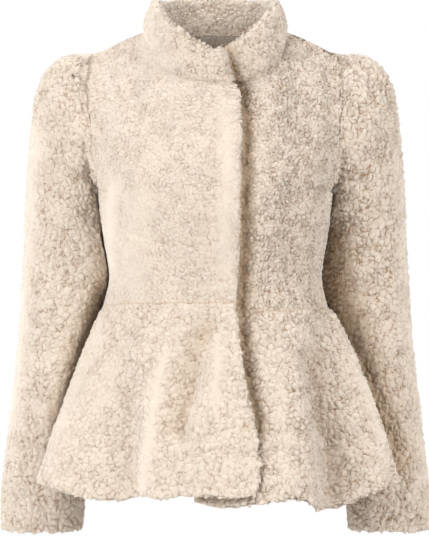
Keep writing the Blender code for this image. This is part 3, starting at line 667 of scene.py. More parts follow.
def spaced(length, step, fine=(True, True)):
    """Places from 0 to 1 over a length in millimetres, with close points at fine ends."""
    steps = np.array(EDGE_STEPS)
    start = steps if fine[0] else steps[:1]
    end = length - (steps if fine[1] else steps[:1])[::-1]
    count = max(2, round((end[0] - start[-1]) / step))
    middle = np.linspace(start[-1], end[0], count + 1)[1:-1]
    return np.concatenate([start, middle, end]) / length


def grid_normals(points, sense):
    """Outward normals of a grid of points; sense turns them the right way."""
    down = np.gradient(points, axis=0)
    across = np.gradient(points, axis=1)
    return unit(np.cross(across, down)) * sense


def tube_normals(points, sense):
    """Outward normals of a grid whose last column is its first."""
    wrapped = np.concatenate([points[:, -2:-1], points, points[:, 1:2]], axis=1)
    return grid_normals(wrapped, sense)[:, 1:-1]


def edge_distances(points):
    """Distance along the cloth of each point from the grid's four sides."""
    down = np.linalg.norm(np.diff(points, axis=0), axis=-1)
    down = np.concatenate([np.zeros((1, points.shape[1])), np.cumsum(down, axis=0)])
    across = np.linalg.norm(np.diff(points, axis=1), axis=-1)
    across = np.concatenate([np.zeros((points.shape[0], 1)), np.cumsum(across, axis=1)], axis=1)
    return {
        "top": down, "bottom": down[-1:] - down,
        "left": across, "right": across[:, -1:] - across,
    }


def path_distance(x, z, path):
    """Distance of points from a path, which side of it they are on, and a fade at its ends."""
    path = np.array(path, dtype=float)
    best = np.full(x.shape, np.inf)
    side = np.zeros(x.shape)
    place = np.zeros(x.shape)
    lengths = np.linalg.norm(np.diff(path, axis=0), axis=1)
    starts = np.append(0.0, np.cumsum(lengths))
    for a, b, length, start in zip(path[:-1], path[1:], lengths, starts):
        run = (b - a) / length
        along = np.clip((x - a[0]) * run[0] + (z - a[1]) * run[1], 0, length)
        away_x = x - a[0] - run[0] * along
        away_z = z - a[1] - run[1] * along
        distance = np.hypot(away_x, away_z)
        closer = distance < best
        best = np.where(closer, distance, best)
        side = np.where(closer, np.sign(away_x), side)
        place = np.where(closer, start + along, place)
    fade = smooth_step(0.0, FOLD_FADE, place) * smooth_step(0.0, FOLD_FADE, starts[-1] - place)
    return best, side, fade


def facing(face, normals):
    """How far the cloth faces the front or the back, from 0 to 1, and 1 for all round."""
    sense = {"front": -1, "back": 1, "round": 0}[face]
    return smooth_step(*FACES_FROM, sense * normals[..., 1] + (sense == 0))


def fold_share(piece, points, normals, field="depth"):
    """How deep the piece's soft folds press in at each point, or how far they part the pile and
    paint shade into its hollows.
    """
    x, z = points[..., 0], points[..., 2]
    total = np.zeros(x.shape)
    for fold in FOLDS.get(piece, ()):
        away, side, fade = path_distance(x, z, fold.path)
        width = np.where(side < 0, fold.left, fold.right)
        here = fade * np.exp(-(away / width) ** 2) * facing(fold.face, normals)
        total += getattr(fold, field) * here
    return total


def nap_share(points, normals):
    """How smooth the pile lies at each point, from 0 to 1."""
    x, z = points[..., 0], points[..., 2]
    share = np.zeros(x.shape)
    for face, naps in NAPS.items():
        faces = facing(face, normals)
        for nap in naps:
            away, _, fade = path_distance(x, z, nap.path)
            stroke = nap.strength * np.exp(-(away / nap.width) ** 2)
            stroke = stroke * (NAP_END + (1 - NAP_END) * fade)
            share = np.maximum(share, stroke * faces)
    return share


def rounded(distance, reach):
    """Height of a quarter round over the distance from an edge, from 0 to 1."""
    return np.sqrt(np.clip(1 - (1 - np.clip(distance / reach, 0, 1)) ** 2, 0, 1))


# Outer and inner grid of a piece, how smooth its pile lies, how far it parts and how much
# painted shade its fold hollows take, how much of its relief it has, and how much of the
# inside is bare backing
Shell = namedtuple("Shell", "outer inner nap parted hold plain")


def side_name(stem, side):
    """The name of the right or the left one of two pieces."""
    return stem + ("_right" if side < 0 else "_left")


def pull_back(points, sides):
    """The grid with its sewn edges drawn back by half the seam gap."""
    points = points.copy()
    for side in sides:
        rows = points if side in ("top", "bottom") else points.transpose(1, 0, 2)
        edge, beside = (0, 1) if side in ("top", "left") else (-1, -2)
        rows[edge] += unit(rows[beside] - rows[edge]) * SEAM_GAP / 2
    return points


def folded(piece, points, sense, sewn, waist=None):
    """The points pressed in along the piece's folds, but not at the seams.

    Waist is the direction in which both pieces at a waist seam are pressed in together.
    """
    sides = edge_distances(points)
    normals = grid_normals(points, sense)
    depth = fold_share(piece, points, normals)
    for side in sewn:
        depth = depth * smooth_step(0.0, FOLD_RISE, sides[side])
    if waist is not None:
        depth[0] = depth[1]
        share = smooth_step(0.0, FOLD_RISE, sides["top"])[..., None]
        normals = unit(normals * share + waist * (1 - share))
    return points - normals * depth[..., None]


def shell(piece, points, normals, free, sewn, leans, thick=CLOTH, inset=0.5, reach=FREE_ROUND,
          plain=None, dips=None):
    """Outer and inner grid of a piece: free edges rounded off, sewn ones let in a little.

    The points are the outer surface where inset is a half, and the middle where it is 0. Plain
    is the share of bare backing inside, which otherwise stops at the turned free edges. Dips
    are the depth and reach by which a sewn side is let in, where they aren't the usual ones.
    """
    sides = edge_distances(points)
    lean = normals.copy()
    for side, border in leans.items():
        share = (1 - smooth_step(0.0, LEAN_REACH, sides[side]))[..., None]
        lean = lean * (1 - share) + border * share
    wall = lean * thick
    middle = points - wall * inset
    height = np.ones(points.shape[:2])
    hold = np.ones(points.shape[:2])
    turned = np.ones(points.shape[:2])
    for side in free:
        height = height * rounded(sides[side], reach)
        turned = turned * smooth_step(TURN_FROM, reach, sides[side])
    height = np.maximum(height, THIN_EDGE)[..., None]
    groove = np.zeros(points.shape[:2])
    for side in sewn:
        dip, width = (dips or {}).get(side, (SEAM_DIP, SEWN_ROUND))
        groove = groove + dip * (1 - smooth_step(0.0, width, sides[side]))
        hold = hold * smooth_step(0.0, SEAM_FLAT, sides[side])
    outer = middle + wall / 2 * height - unit(wall) * groove[..., None]
    inner = middle - wall / 2 * height
    plain = turned if plain is None else plain
    # painted shade: the fold hollows take the root colour; at the waist and armhole seams the pile
    # parts
    parted = fold_share(piece, points, normals, "parts")
    if piece != "collar":
        share, width = SEAM_SHOWS
        parted = np.maximum(parted, share * (1 - smooth_step(0, width, sides["top"])))
    hold = hold * (1 + EDGE_TUFTS * (1 - turned))
    if piece.endswith("front_left"):
        hold = hold * smooth_step(*LAP_HOLD, points[..., 0])
    return Shell(outer, inner, nap_share(points, normals), parted, hold, plain)


def even_places(lines, start=0.0, end=1.0, fine=(True, True), step=STEP):
    """Places at most a step apart on each of the lines, and close together at fine ends."""
    runs = np.linalg.norm(np.diff(lines, axis=1), axis=-1).max(axis=0)
    length = np.append(0.0, np.cumsum(runs))
    places = spaced(length[-1], step, fine) * length[-1]
    return np.interp(places, length, np.linspace(start, end, lines.shape[1]))


# The pieces

DENSE = np.linspace(0, 1, 1201)


def half_places(surface, face, side, step, columns, rows):
    """Even places across and along half a piece, measured on some of its rows and columns."""
    across = surface(face, side, DENSE, np.array(rows))
    along = surface(face, side, np.array(columns), DENSE).transpose(1, 0, 2)
    return (even_places(across, fine=(face == "front", True), step=step),
            even_places(along, step=step))


def armhole_dip(up):
    """How far the pile is let in at heights up a side seam and armhole."""
    return SEAM_DIP + (ARMHOLE_FILL[0] - SEAM_DIP) * smooth_step(*ARMHOLE_FILL_FROM, up)


def bodice_half(face, side, step=STEP):
    """Half a bodice, with the directions through its seams and the dip of its side edge."""
    around, up = half_places(bodice, face, side, step, (0.0, 1.0), (0.0, 0.45, 1.0))
    level = np.zeros((len(up), 3)) + (1.0, 0.0, 0.0)
    arm = armhole_lean(edge_line(face, up), underarm_share(np.maximum(up, UNDERARM)))
    edge = np.where((up >= UNDERARM)[:, None], arm, level) * (side, 1, 1)
    lap_x = lap_edges(side, np.ones(1))[0] if face == "front" else 0.0
    neck = neck_lean(neck_angle(lap_x, np.minimum(around, NECK_SHARE)), face == "back")
    share = smooth_step(NECK_SHARE - NECK_CORNER, NECK_SHARE + NECK_CORNER, around)[:, None]
    top = neck * (1 - share) + unit(np.array(SHOULDER_LEAN)) * share
    return bodice(face, side, around, up), edge, top * (side, 1, 1), armhole_dip(up)


def bodice_front_shell(side):
    """One lapped front."""
    points, edge, top, dip = bodice_half("front", side)
    sewn = ("top", "bottom", "right")
    piece = side_name("bodice_front", side)
    points = folded(piece, pull_back(points, sewn), side, sewn[1 if side < 0 else 2:],
                    waist_lean(points[0], side))
    leans = {"top": waist_lean(points[0], side)[None], "right": edge[:, None], "bottom": top[None]}
    return shell(piece, points, grid_normals(points, side), ("left",), sewn, leans,
                 dips={"right": (dip[:, None], ARMHOLE_FILL[1])})


def joined(right, left, axis):
    """Both halves of a back piece as one grid or one row of it."""
    if axis == 1:
        return np.concatenate([right[:, ::-1], left[:, 1:]], axis=1)
    return np.concatenate([right[::-1], left[1:]])


def bodice_back_shell():
    """The back of the bodice, in one piece."""
    right, left = bodice_half("back", -1, BACK_STEP), bodice_half("back", 1, BACK_STEP)
    sewn = ("top", "bottom", "left", "right")
    points = folded("bodice_back", pull_back(joined(right[0], left[0], 1), sewn), -1, sewn)
    leans = {
        "top": waist_lean(points[0], -1)[None], "left": right[1][:, None],
        "right": left[1][:, None], "bottom": joined(right[2], left[2], 0)[None],
    }
    below = edge_distances(points)["bottom"]
    half = NECK_POINT[0]
    neck = 1 - smooth_step(FACING_FROM * half, half, np.abs(points[-1, :, 0]))
    deep = (1 - smooth_step(*FACING_FADE, below)) * neck
    thick = CLOTH + (COLLAR_THICK - COLLAR_OVERHANG - CLOTH) * deep[..., None]
    plain = np.maximum(smooth_step(*FACING_DEPTH, below), 1 - neck[None])
    dip = (right[3][:, None], ARMHOLE_FILL[1])
    return shell("bodice_back", points, grid_normals(points, -1), (), sewn, leans, thick,
                 plain=plain, dips={"left": dip, "right": dip})


def peplum_half(face, side, step=STEP):
    """The surface of half a peplum."""
    around, down = half_places(peplum, face, side, step, (0.0, 0.5, 0.9), (0.0, 1.0))
    return peplum(face, side, around, down)


def peplum_front_shell(side):
    """One fluted front of the peplum."""
    piece, sewn = side_name("peplum_front", side), ("top", "right")
    points = peplum_half("front", side)
    points = folded(piece, pull_back(points, sewn), -side, sewn[1:], waist_lean(points[0], side))
    leans = {"top": waist_lean(points[0], side)[None], "right": np.array([[[side, 0.0, 0.0]]])}
    return shell(piece, points, grid_normals(points, -side), ("left", "bottom"), sewn, leans)


def peplum_back_shell():
    """The back of the peplum, in one piece."""
    right, left = peplum_half("back", -1, BACK_STEP), peplum_half("back", 1, BACK_STEP)
    sewn = ("top", "left", "right")
    points = folded("peplum_back", pull_back(joined(right, left, 1), sewn), 1, sewn)
    leans = {
        "top": waist_lean(points[0], -1)[None], "left": np.array([[[-1.0, 0.0, 0.0]]]),
        "right": np.array([[[1.0, 0.0, 0.0]]]),
    }
    return shell("peplum_back", points, grid_normals(points, 1), ("bottom",), sewn, leans)


def body_width(points):
    """Half the bodice's width beside each point of a grid, at its height and depth."""
    up = np.interp(points[..., 2].ravel(), column(SECTIONS, "side_z"), column(SECTIONS, "at"))
    width, middle, front, back, power = (
        read(SECTIONS, field, up)
        for field in ("half_width", "side_y", "front_y", "back_y", "square"))
    away = points[..., 1].ravel() - middle
    share = np.clip(away / np.where(away < 0, front - middle, back - middle), 0, 1)
    return (width * (1 - share ** power) ** (1 / power)).reshape(points.shape[:2])


def beside_body(points):
    """The sleeve's points kept clear of the body below the underarm."""
    below = smooth_step(*SLEEVE_CLEAR_FROM, -points[..., 2])
    least = body_width(points) + SLEEVE_CLEAR * (2 * below - 1)
    points = points.copy()
    x = points[..., 0]
    points[..., 0] = np.sign(x) * np.maximum(np.abs(x), least * (below > 0))
    return points


def sleeve_shell(side):
    """A sleeve with its seam under the arm."""
    ring = np.linspace(0.5, 1.5, len(DENSE))
    places = even_places(
        sleeve(side, ring, np.array([0.2, 0.6, 1.0])), 0.5, 1.5, step=SLEEVE_STEP)
    columns = sleeve(side, np.linspace(0.5, 1.5, 9), DENSE).transpose(1, 0, 2)
    down = even_places(columns, step=SLEEVE_STEP)
    points = sleeve(side, places, down)
    normals = tube_normals(points, side)
    piece = side_name("sleeve", side)
    depth = fold_share(piece, points, normals)
    depth *= smooth_step(0.0, FOLD_RISE, edge_distances(points)["top"])
    points = pull_back(points - normals * depth[..., None], ("top",))
    points = beside_body(points)
    points[:, -1] = points[:, 0]
    _, lean = armhole_ring(side, places)
    normals = tube_normals(points, side)
    sewn = ("top", "left", "right")
    dip = (armhole_dip(armhole_height(places))[None], ARMHOLE_FILL[1])
    return shell(piece, points, normals, ("bottom",), sewn, {"top": lean[None]},
                 dips={"top": dip})


def collar_shell():
    """The doubled stand collar, open at the front."""
    lines = collar_lines(COLLAR_STEPS)
    along = even_places(np.stack([lines[0], lines[2]]), 0, len(lines[0]) - 1)
    seam, lean, rim, rim_out = [
        np.stack([np.interp(along, np.arange(len(line)), line[:, k]) for k in range(3)], 1)
        for line in lines]
    foot = seam - lean * (COLLAR_THICK / 2 - COLLAR_OVERHANG)
    height = np.linalg.norm(rim - foot, axis=1).max()
    up = spaced(height, STEP)
    share = up[:, None, None]
    belly = np.sin(math.pi * share)
    points = foot * (1 - share) + rim * share + rim_out * belly * COLLAR_BELLY
    thick = COLLAR_THICK + 2 * COLLAR_SWELL * belly
    normals = grid_normals(points, -1)
    left_end = along > 3 * COLLAR_STEPS     # only the left front quarter is folded
    depth = fold_share("collar", points, normals) * left_end
    points = points - normals * depth[..., None]
    normals = grid_normals(points, -1)
    doubled = shell("collar", points, normals, ("left", "right", "bottom"), ("top",),
                    {"top": lean[None]}, thick, 0.0, COLLAR_THICK / 2,
                    np.zeros(depth.shape), {"top": COLLAR_DIP})
    return doubled._replace(parted=doubled.parted * left_end)


# Meshes

def wall_bmesh(rows, columns, closed, fine_inside):
    """Two walls over a unit grid, joined round the edge; a coarse inside gets fewer points."""
    bm = bmesh.new()
    bmesh.ops.create_grid(bm, x_segments=columns - 1, y_segments=rows - 1, size=1)
    raised = bmesh.ops.extrude_face_region(bm, geom=bm.faces[:])
    lifted = [item for item in raised["geom"] if isinstance(item, bmesh.types.BMVert)]
    bmesh.ops.translate(bm, verts=lifted, vec=(0, 0, 1))
    if closed:
        ends = [face for face in bm.faces if abs(face.calc_center_median().x) > GRID_EDGE]
        bmesh.ops.delete(bm, geom=ends, context="FACES")
    for _ in range(0 if fine_inside else 2):
        inside = [
            vert for vert in bm.verts
            if vert.co.z > 0.5 and abs(vert.co.x) < GRID_EDGE and abs(vert.co.y) < GRID_EDGE]
        bmesh.ops.unsubdivide(bm, verts=inside, iterations=2)
    return bm


def add_attribute(mesh, name, kind, domain, values):
    """Values stored on the mesh under a name."""
    layer = mesh.attributes.new(name, kind, domain)
    field = "vector" if kind == "FLOAT_VECTOR" else "value"
    layer.data.foreach_set(field, np.ascontiguousarray(values, dtype=np.float32).ravel())


def wall_mesh(name, cut, curl):
    """The mesh of a piece, with the places of its points in curls and the lie of its pile."""
    closed = cut.part == "sleeve"
    cloth_shell = cut.make()
    rows, columns = cloth_shell.outer.shape[:2]
    bm = wall_bmesh(rows, columns, closed, cut.fine_inside)
    mesh = bpy.data.meshes.new(name)
    bm.to_mesh(mesh)
    grid = np.empty(len(mesh.vertices) * 3)
    mesh.vertices.foreach_get("co", grid)
    grid = grid.reshape(-1, 3)
    row = np.rint((grid[:, 1] + 1) / 2 * (rows - 1)).astype(int)
    col = np.rint((grid[:, 0] + 1) / 2 * (columns - 1)).astype(int)
    inside = grid[:, 2] > 0.5
    points = np.where(inside[:, None], cloth_shell.inner[row, col], cloth_shell.outer[row, col])
    mesh.vertices.foreach_set("co", (points * MM).ravel())
    add_attribute(mesh, "place", "FLOAT_VECTOR", "POINT", points / curl)
    backing = np.where(inside, cloth_shell.plain[row, col], 0.0)
    hold = cloth_shell.hold[row, col] * (1 - backing)
    nap = np.clip(cloth_shell.nap[row, col] + cut.smooth, -1.0, 1.0)
    add_attribute(mesh, "pile", "FLOAT", "POINT", hold * curl * MM * cut.relief)
    add_attribute(mesh, "backing", "FLOAT", "POINT", backing)
    add_attribute(mesh, "nap", "FLOAT", "POINT", nap)
    # painted shade in the fold hollows, and the parting at the seams
    add_attribute(mesh, "parted", "FLOAT", "POINT", cloth_shell.parted[row, col])
    bm.clear()
    bm.from_mesh(mesh)
    if closed:
        bmesh.ops.remove_doubles(bm, verts=bm.verts, dist=MERGE)
    bmesh.ops.recalc_face_normals(bm, faces=bm.faces)
    bm.to_mesh(mesh)
    bm.free()
    mesh.shade_smooth()
    return mesh


# Nodes

# The curls, in curl widths: noise bends broad and fine cells, whose borders are the creases
BEND_SCALE, BEND = 0.9, 1.3
BROAD_SCALE, FINE_SCALE = 1.2, 2.4
BROAD_SLOPE, FINE_SLOPE = 0.36, 0.32    # how far in from its border a curl rises
BROAD_LIFT = 0.65                       # share of the lift that the broad curls have
BROAD_LINE, FINE_LINE = 0.08, 0.07      # how wide the dark line in a crease is
FINE_DARK = 0.6                         # how dark a fine crease is, next to a broad one
PATCH_SCALE, PATCH, PATCH_LEAST = 0.5, (0.40, 0.60), 0.5    # where the curls are deeper
GAP_SCALE, GAP, GAP_LEAST = 1.9, (0.44, 0.58), 0.15         # where the creases aren't broken
LIFT_LEVEL = 0.72       # lift that neither raises the cloth nor presses it in
NAP_RELIEF = 0.5        # how much of its relief smooth pile loses

# The cloth's colour and bump
FIBRE_SCALE, TONE_SCALE = 8.0, 0.16
FIBRE_SHADE, TONE_SHADE, NAP_SHEEN = 0.34, 0.12, 0.03   # how much each varies the brightness
# painted shade in part: creases, the low pile beside them and fold hollows are darkened for shade
# as well as for the brown base of the pile
CREASE_SHADE_AND_BASE, LOW_PILE_SHADE_AND_BASE, HOLLOW_SHADE_AND_PARTING = 0.62, 0.20, 0.6  # how far each takes its own colour
KNIT_SHADE = 0.12
KNIT_WAVE = {"Scale": 1.3, "Distortion": 1.5, "Detail": 2.0}
LIFT_BUMP, CREASE_BUMP, FIBRE_BUMP, KNIT_BUMP = 0.5, 0.3, 0.5, 0.3
BUMP_STRENGTH = 0.8
BACKING_FROM = (0.3, 0.7)       # where the pile gives way to bare backing
FUR_SURFACE = {
    "Metallic": 0.0, "Roughness": 0.95, "Diffuse Roughness": 1.0, "Specular IOR Level": 0.25,
    "Sheen Weight": 0.2, "Sheen Roughness": 0.5,
}
FLOOR_SURFACE = {"Base Color": (0.86, 0.86, 0.86, 1.0), "Roughness": 0.9}
WHITE = (1.0, 1.0, 1.0, 1.0)


class Value:
    """A socket used in expressions: each operator adds its Math node."""

    def __init__(self, nodes, socket):
        self.nodes = nodes
        self.socket = socket

    def math(self, operation, first, second):
        """One Math node on two values."""
        return self.nodes.value("ShaderNodeMath", {"operation": operation}, {0: first, 1: second})

    def __add__(self, other):
        return self.math("ADD", self, other)

    def __radd__(self, other):
        return self.math("ADD", other, self)

    def __sub__(self, other):
        return self.math("SUBTRACT", self, other)

    def __rsub__(self, other):
        return self.math("SUBTRACT", other, self)

    def __mul__(self, other):
        return self.math("MULTIPLY", self, other)


class Nodes:
    """The nodes of one tree."""

    def __init__(self, tree):
        self.tree = tree

    def add(self, kind, settings=None, inputs=None):
        """A node of a kind: its settings first, then its sockets set or linked."""
        node = self.tree.nodes.new(kind)
        for name, setting in (settings or {}).items():
            setattr(node, name, setting)
        for name, value in (inputs or {}).items():
            if isinstance(value, Value):
                value = value.socket
            if isinstance(value, bpy.types.NodeSocket):
                self.tree.links.new(value, node.inputs[name])
            else:
                node.inputs[name].default_value = value
        return node

    def value(self, kind, settings=None, inputs=None, output=0):
        """One output of a new node, for expressions."""
        return Value(self, self.add(kind, settings, inputs).outputs[output])

    def smooth(self, value, low, high):
        """0 below low, 1 above high, and a soft rise between."""
        return self.value(
            "ShaderNodeMapRange", {"interpolation_type": "SMOOTHSTEP"},
            {"Value": value, "From Min": low, "From Max": high})

    def noise(self, place, scale, detail=2.0, rough=0.5):
        """Soft noise over the cloth, about 0 to 1."""
        return self.value("ShaderNodeTexNoise", {}, {
            "Vector": place, "Scale": scale, "Detail": detail, "Roughness": rough}, "Fac")

    def cells(self, place, scale):
        """Distance from the borders of scattered cells, in cells."""
        return self.value(
            "ShaderNodeTexVoronoi", {"voronoi_dimensions": "3D", "feature": "DISTANCE_TO_EDGE"},
            {"Vector": place, "Scale": scale}, "Distance")

    def vector(self, operation, first, second):
        """One Vector Math node."""
        slot = "Scale" if operation == "SCALE" else 1
        return self.add(
            "ShaderNodeVectorMath", {"operation": operation}, {0: first, slot: second}).outputs[0]

    def mix(self, factor, first, second):
        """One colour over another."""
        return self.add("ShaderNodeMix", {"data_type": "RGBA"}, {
            0: factor, 6: first, 7: second}).outputs[2]


def curls(nodes, place, nap):
    """Lift of the pile, from 0 in the creases to 1, and how dark each crease is."""
    drift = nodes.add("ShaderNodeTexNoise", {}, {
        "Vector": place, "Scale": BEND_SCALE, "Detail": 3.0, "Roughness": 0.6})
    swing = nodes.vector("SUBTRACT", drift.outputs["Color"], (0.5, 0.5, 0.5))
    bent = nodes.vector("ADD", place, nodes.vector("SCALE", swing, BEND))
    broad = nodes.cells(bent, BROAD_SCALE)
    fine = nodes.cells(bent, FINE_SCALE)
    patches = nodes.smooth(nodes.noise(place, PATCH_SCALE, 1.0), *PATCH)
    gaps = nodes.smooth(nodes.noise(place, GAP_SCALE, 1.5), *GAP)
    curly = 1 - nap
    lift = (nodes.smooth(broad, 0.0, BROAD_SLOPE) * BROAD_LIFT
            + nodes.smooth(fine, 0.0, FINE_SLOPE) * (1 - BROAD_LIFT))
    lift = 1 - (1 - lift) * curly * (patches * (1 - PATCH_LEAST) + PATCH_LEAST)
    wide = (1 - nodes.smooth(broad, 0.0, BROAD_LINE)) * (gaps * (1 - GAP_LEAST) + GAP_LEAST)
    thin = (1 - nodes.smooth(fine, 0.0, FINE_LINE)) * patches * gaps
    return lift, (wide + thin * FINE_DARK) * curly


def named_attribute(nodes, name, kind):
    """An attribute of the mesh, in geometry nodes."""
    return nodes.add("GeometryNodeInputNamedAttribute", {"data_type": kind}, {
        "Name": name}).outputs["Attribute"]


def relief_group(pile):
    """Geometry nodes that press the creases into the pile and swell the cloth unevenly."""
    tree = bpy.data.node_groups.get("curl_relief")
    if tree:
        return tree
    tree = bpy.data.node_groups.new("curl_relief", "GeometryNodeTree")
    for way in ("INPUT", "OUTPUT"):
        tree.interface.new_socket("Geometry", in_out=way, socket_type="NodeSocketGeometry")
    nodes = Nodes(tree)
    start = nodes.add("NodeGroupInput").outputs[0]
    place = named_attribute(nodes, "place", "FLOAT_VECTOR")
    nap = Value(nodes, named_attribute(nodes, "nap", "FLOAT"))
    depth = Value(nodes, named_attribute(nodes, "pile", "FLOAT"))
    position = nodes.add("GeometryNodeInputPosition").outputs[0]
    normal = nodes.add("GeometryNodeInputNormal").outputs[0]
    lift, _ = curls(nodes, place, nap * NAP_RELIEF)
    swell = nodes.noise(position, 1 / pile.swell_size, 1.5) - 0.5
    raised = ((lift - LIFT_LEVEL) * pile.relief + swell * pile.swell) * depth
    offset = nodes.vector("SCALE", normal, raised)
    moved = nodes.add("GeometryNodeSetPosition", {}, {"Geometry": start, "Offset": offset})
    nodes.add("NodeGroupOutput", {}, {0: moved.outputs[0]})
    return tree


def surface_attribute(nodes, name, output):
    """An attribute of the mesh, in a material."""
    return nodes.add("ShaderNodeAttribute", {"attribute_name": name}).outputs[output]


def surfaced(material, values):
    """The surface node of a material, with some of its sockets set."""
    material.use_nodes = True
    shader = material.node_tree.nodes["Principled BSDF"]
    for name, value in values.items():
        shader.inputs[name].default_value = value
    return shader


def fur_material(pile):
    """The one cloth of the coat: pale curly pile on a knitted backing."""
    material = bpy.data.materials.get("curly_faux_fur")
    if material:
        return material
    material = bpy.data.materials.new("curly_faux_fur")
    shader = surfaced(material, FUR_SURFACE)
    nodes = Nodes(material.node_tree)
    place = surface_attribute(nodes, "place", "Vector")
    nap = Value(nodes, surface_attribute(nodes, "nap", "Fac"))
    backing = nodes.smooth(surface_attribute(nodes, "backing", "Fac"), *BACKING_FROM)
    lift, crease = curls(nodes, place, nap)
    parted = Value(nodes, surface_attribute(nodes, "parted", "Fac"))
    fibre = nodes.noise(place, FIBRE_SCALE, 3.0, 0.7)
    tone = nodes.noise(place, TONE_SCALE, 3.0)
    # the nap term is painted sheen: smooth pile along crests and edges is made paler
    shade = 1 + (fibre - 0.5) * FIBRE_SHADE + (tone - 0.5) * TONE_SHADE + nap * NAP_SHEEN
    # painted shade in part: creases and low pile take the crease colour, for the shade down in
    # them as well as the pile's brown base
    colour = nodes.mix(crease * CREASE_SHADE_AND_BASE + (1 - lift) * LOW_PILE_SHADE_AND_BASE, pile.fur, pile.crease)
    # painted shade: the fold hollows take the root colour, besides the parting at the seams
    colour = nodes.mix(parted * HOLLOW_SHADE_AND_PARTING, colour, pile.roots)
    colour = nodes.vector("SCALE", colour, shade)
    ribs = nodes.value(
        "ShaderNodeTexWave", {"wave_type": "BANDS"}, {"Vector": place, **KNIT_WAVE}, "Fac")
    knit = nodes.vector("SCALE", pile.backing[:3], (1 - KNIT_SHADE) + ribs * KNIT_SHADE)
    colour = nodes.mix(backing, colour, knit)
    height = lift * LIFT_BUMP - crease * CREASE_BUMP + fibre * FIBRE_BUMP
    height = height * (1 - backing) + ribs * backing * KNIT_BUMP
    bump = nodes.add("ShaderNodeBump", {}, {
        "Strength": BUMP_STRENGTH, "Distance": pile.bump, "Height": height})
    nodes.tree.links.new(colour, shader.inputs["Base Color"])
    nodes.tree.links.new(bump.outputs[0], shader.inputs["Normal"])
    return material


# Settings, operators and panel

def linear(*channels):
    """A screen colour, 0 to 255, as Blender's linear colour."""
    values = [channel / 255 for channel in channels]
    return tuple(v / 12.92 if v <= 0.04045 else ((v + 0.055) / 1.055) ** 2.4 for v in values)


def colour_property(name, description, colour):
    """A colour setting."""
    return bpy.props.FloatVectorProperty(
        name=name, description=description, default=colour + (1.0,), subtype="COLOR", size=4,
        min=0.0, max=1.0)


def number_property(name, description, default, **limits):
    """A number setting, from 0 up."""
    return bpy.props.FloatProperty(
        name=name, description=description, default=default, min=0.0, **limits)


length_property = partial(number_property, unit="LENGTH", precision=4)
share_property = partial(number_property, max=1.0)
power_property = partial(number_property, unit="POWER")


class CoatPile(bpy.types.PropertyGroup):
    """Pile and colours of the fur cloth."""

    relief: share_property("Relief", "Depth of the creases, as a share of a curl's width", 0.36)
    swell: share_property("Swell", "Unevenness of the cloth, as a share of a curl's width", 0.16)
    bump: length_property("Bump", "Height of the finest relief", 0.0024)
    swell_size: length_property("Swell size", "Width of one such swelling", 0.034)
    bodice_curl: length_property("Bodice curl", "Width of a curl on the bodice", 0.0070)
    collar_curl: length_property("Collar curl", "Width of a curl on the collar", 0.0074)
    peplum_curl: length_property("Peplum curl", "Width of a curl on the peplum", 0.0092)
    sleeve_curl: length_property("Sleeve curl", "Width of a curl on the sleeves", 0.0100)
    fur: colour_property("Fur", "Colour of the pile", (0.745, 0.652, 0.532))
    # the crease colour stands for shade down in the creases as well as for the pile's brown base
    crease: colour_property("Crease", "Colour down in the creases", (0.38, 0.225, 0.105))
    # the root colour also paints shade into the fold hollows
    roots: colour_property("Root_and_shade", "Colour where the pile parts in a hollow", (0.56, 0.36, 0.165))
    backing: colour_property("Backing", "Colour of the knitted backing", linear(170, 150, 124))


class CoatStage(bpy.types.PropertyGroup):
    """Floor and light."""

    key: power_property("Key", "Power of the large soft light at the front left", 75.0)
    fill: power_property("Fill", "Power of the soft light at the front right", 50.0)
    top: power_property("Top", "Power of the soft light overhead", 23.0)
    rear: power_property("Rear", "Power of each of the two soft lights behind", 45.0)
    ambient: number_property("Ambient", "Brightness of the light from all round", 0.205)
    around: colour_property("Around", "Colour of the light from all round", (1.0, 0.86, 0.68))
    floor_drop: length_property("Floor", "How far below the neck the floor lies", 0.95)
    floor_radius: length_property("Floor radius", "Radius of the floor", 1.6)


# Soft lights round the coat: setting, bearing from the front and height in degrees, and width
Lamp = namedtuple("Lamp", "setting bearing height size")
LAMPS = (
    Lamp("key", -44, 21, 1.9), Lamp("fill", 50, 20, 1.2), Lamp("top", 0, 88, 1.5),
    Lamp("rear", -140, 15, 1.5), Lamp("rear", 140, 15, 1.5),
)
LAMP_COLOUR = (0.96, 1.0, 1.09)
LAMP_DISTANCE = 2.6
LAMP_TARGET = (0.0, 0.0, -0.30)
FLOOR_SIDES = 96

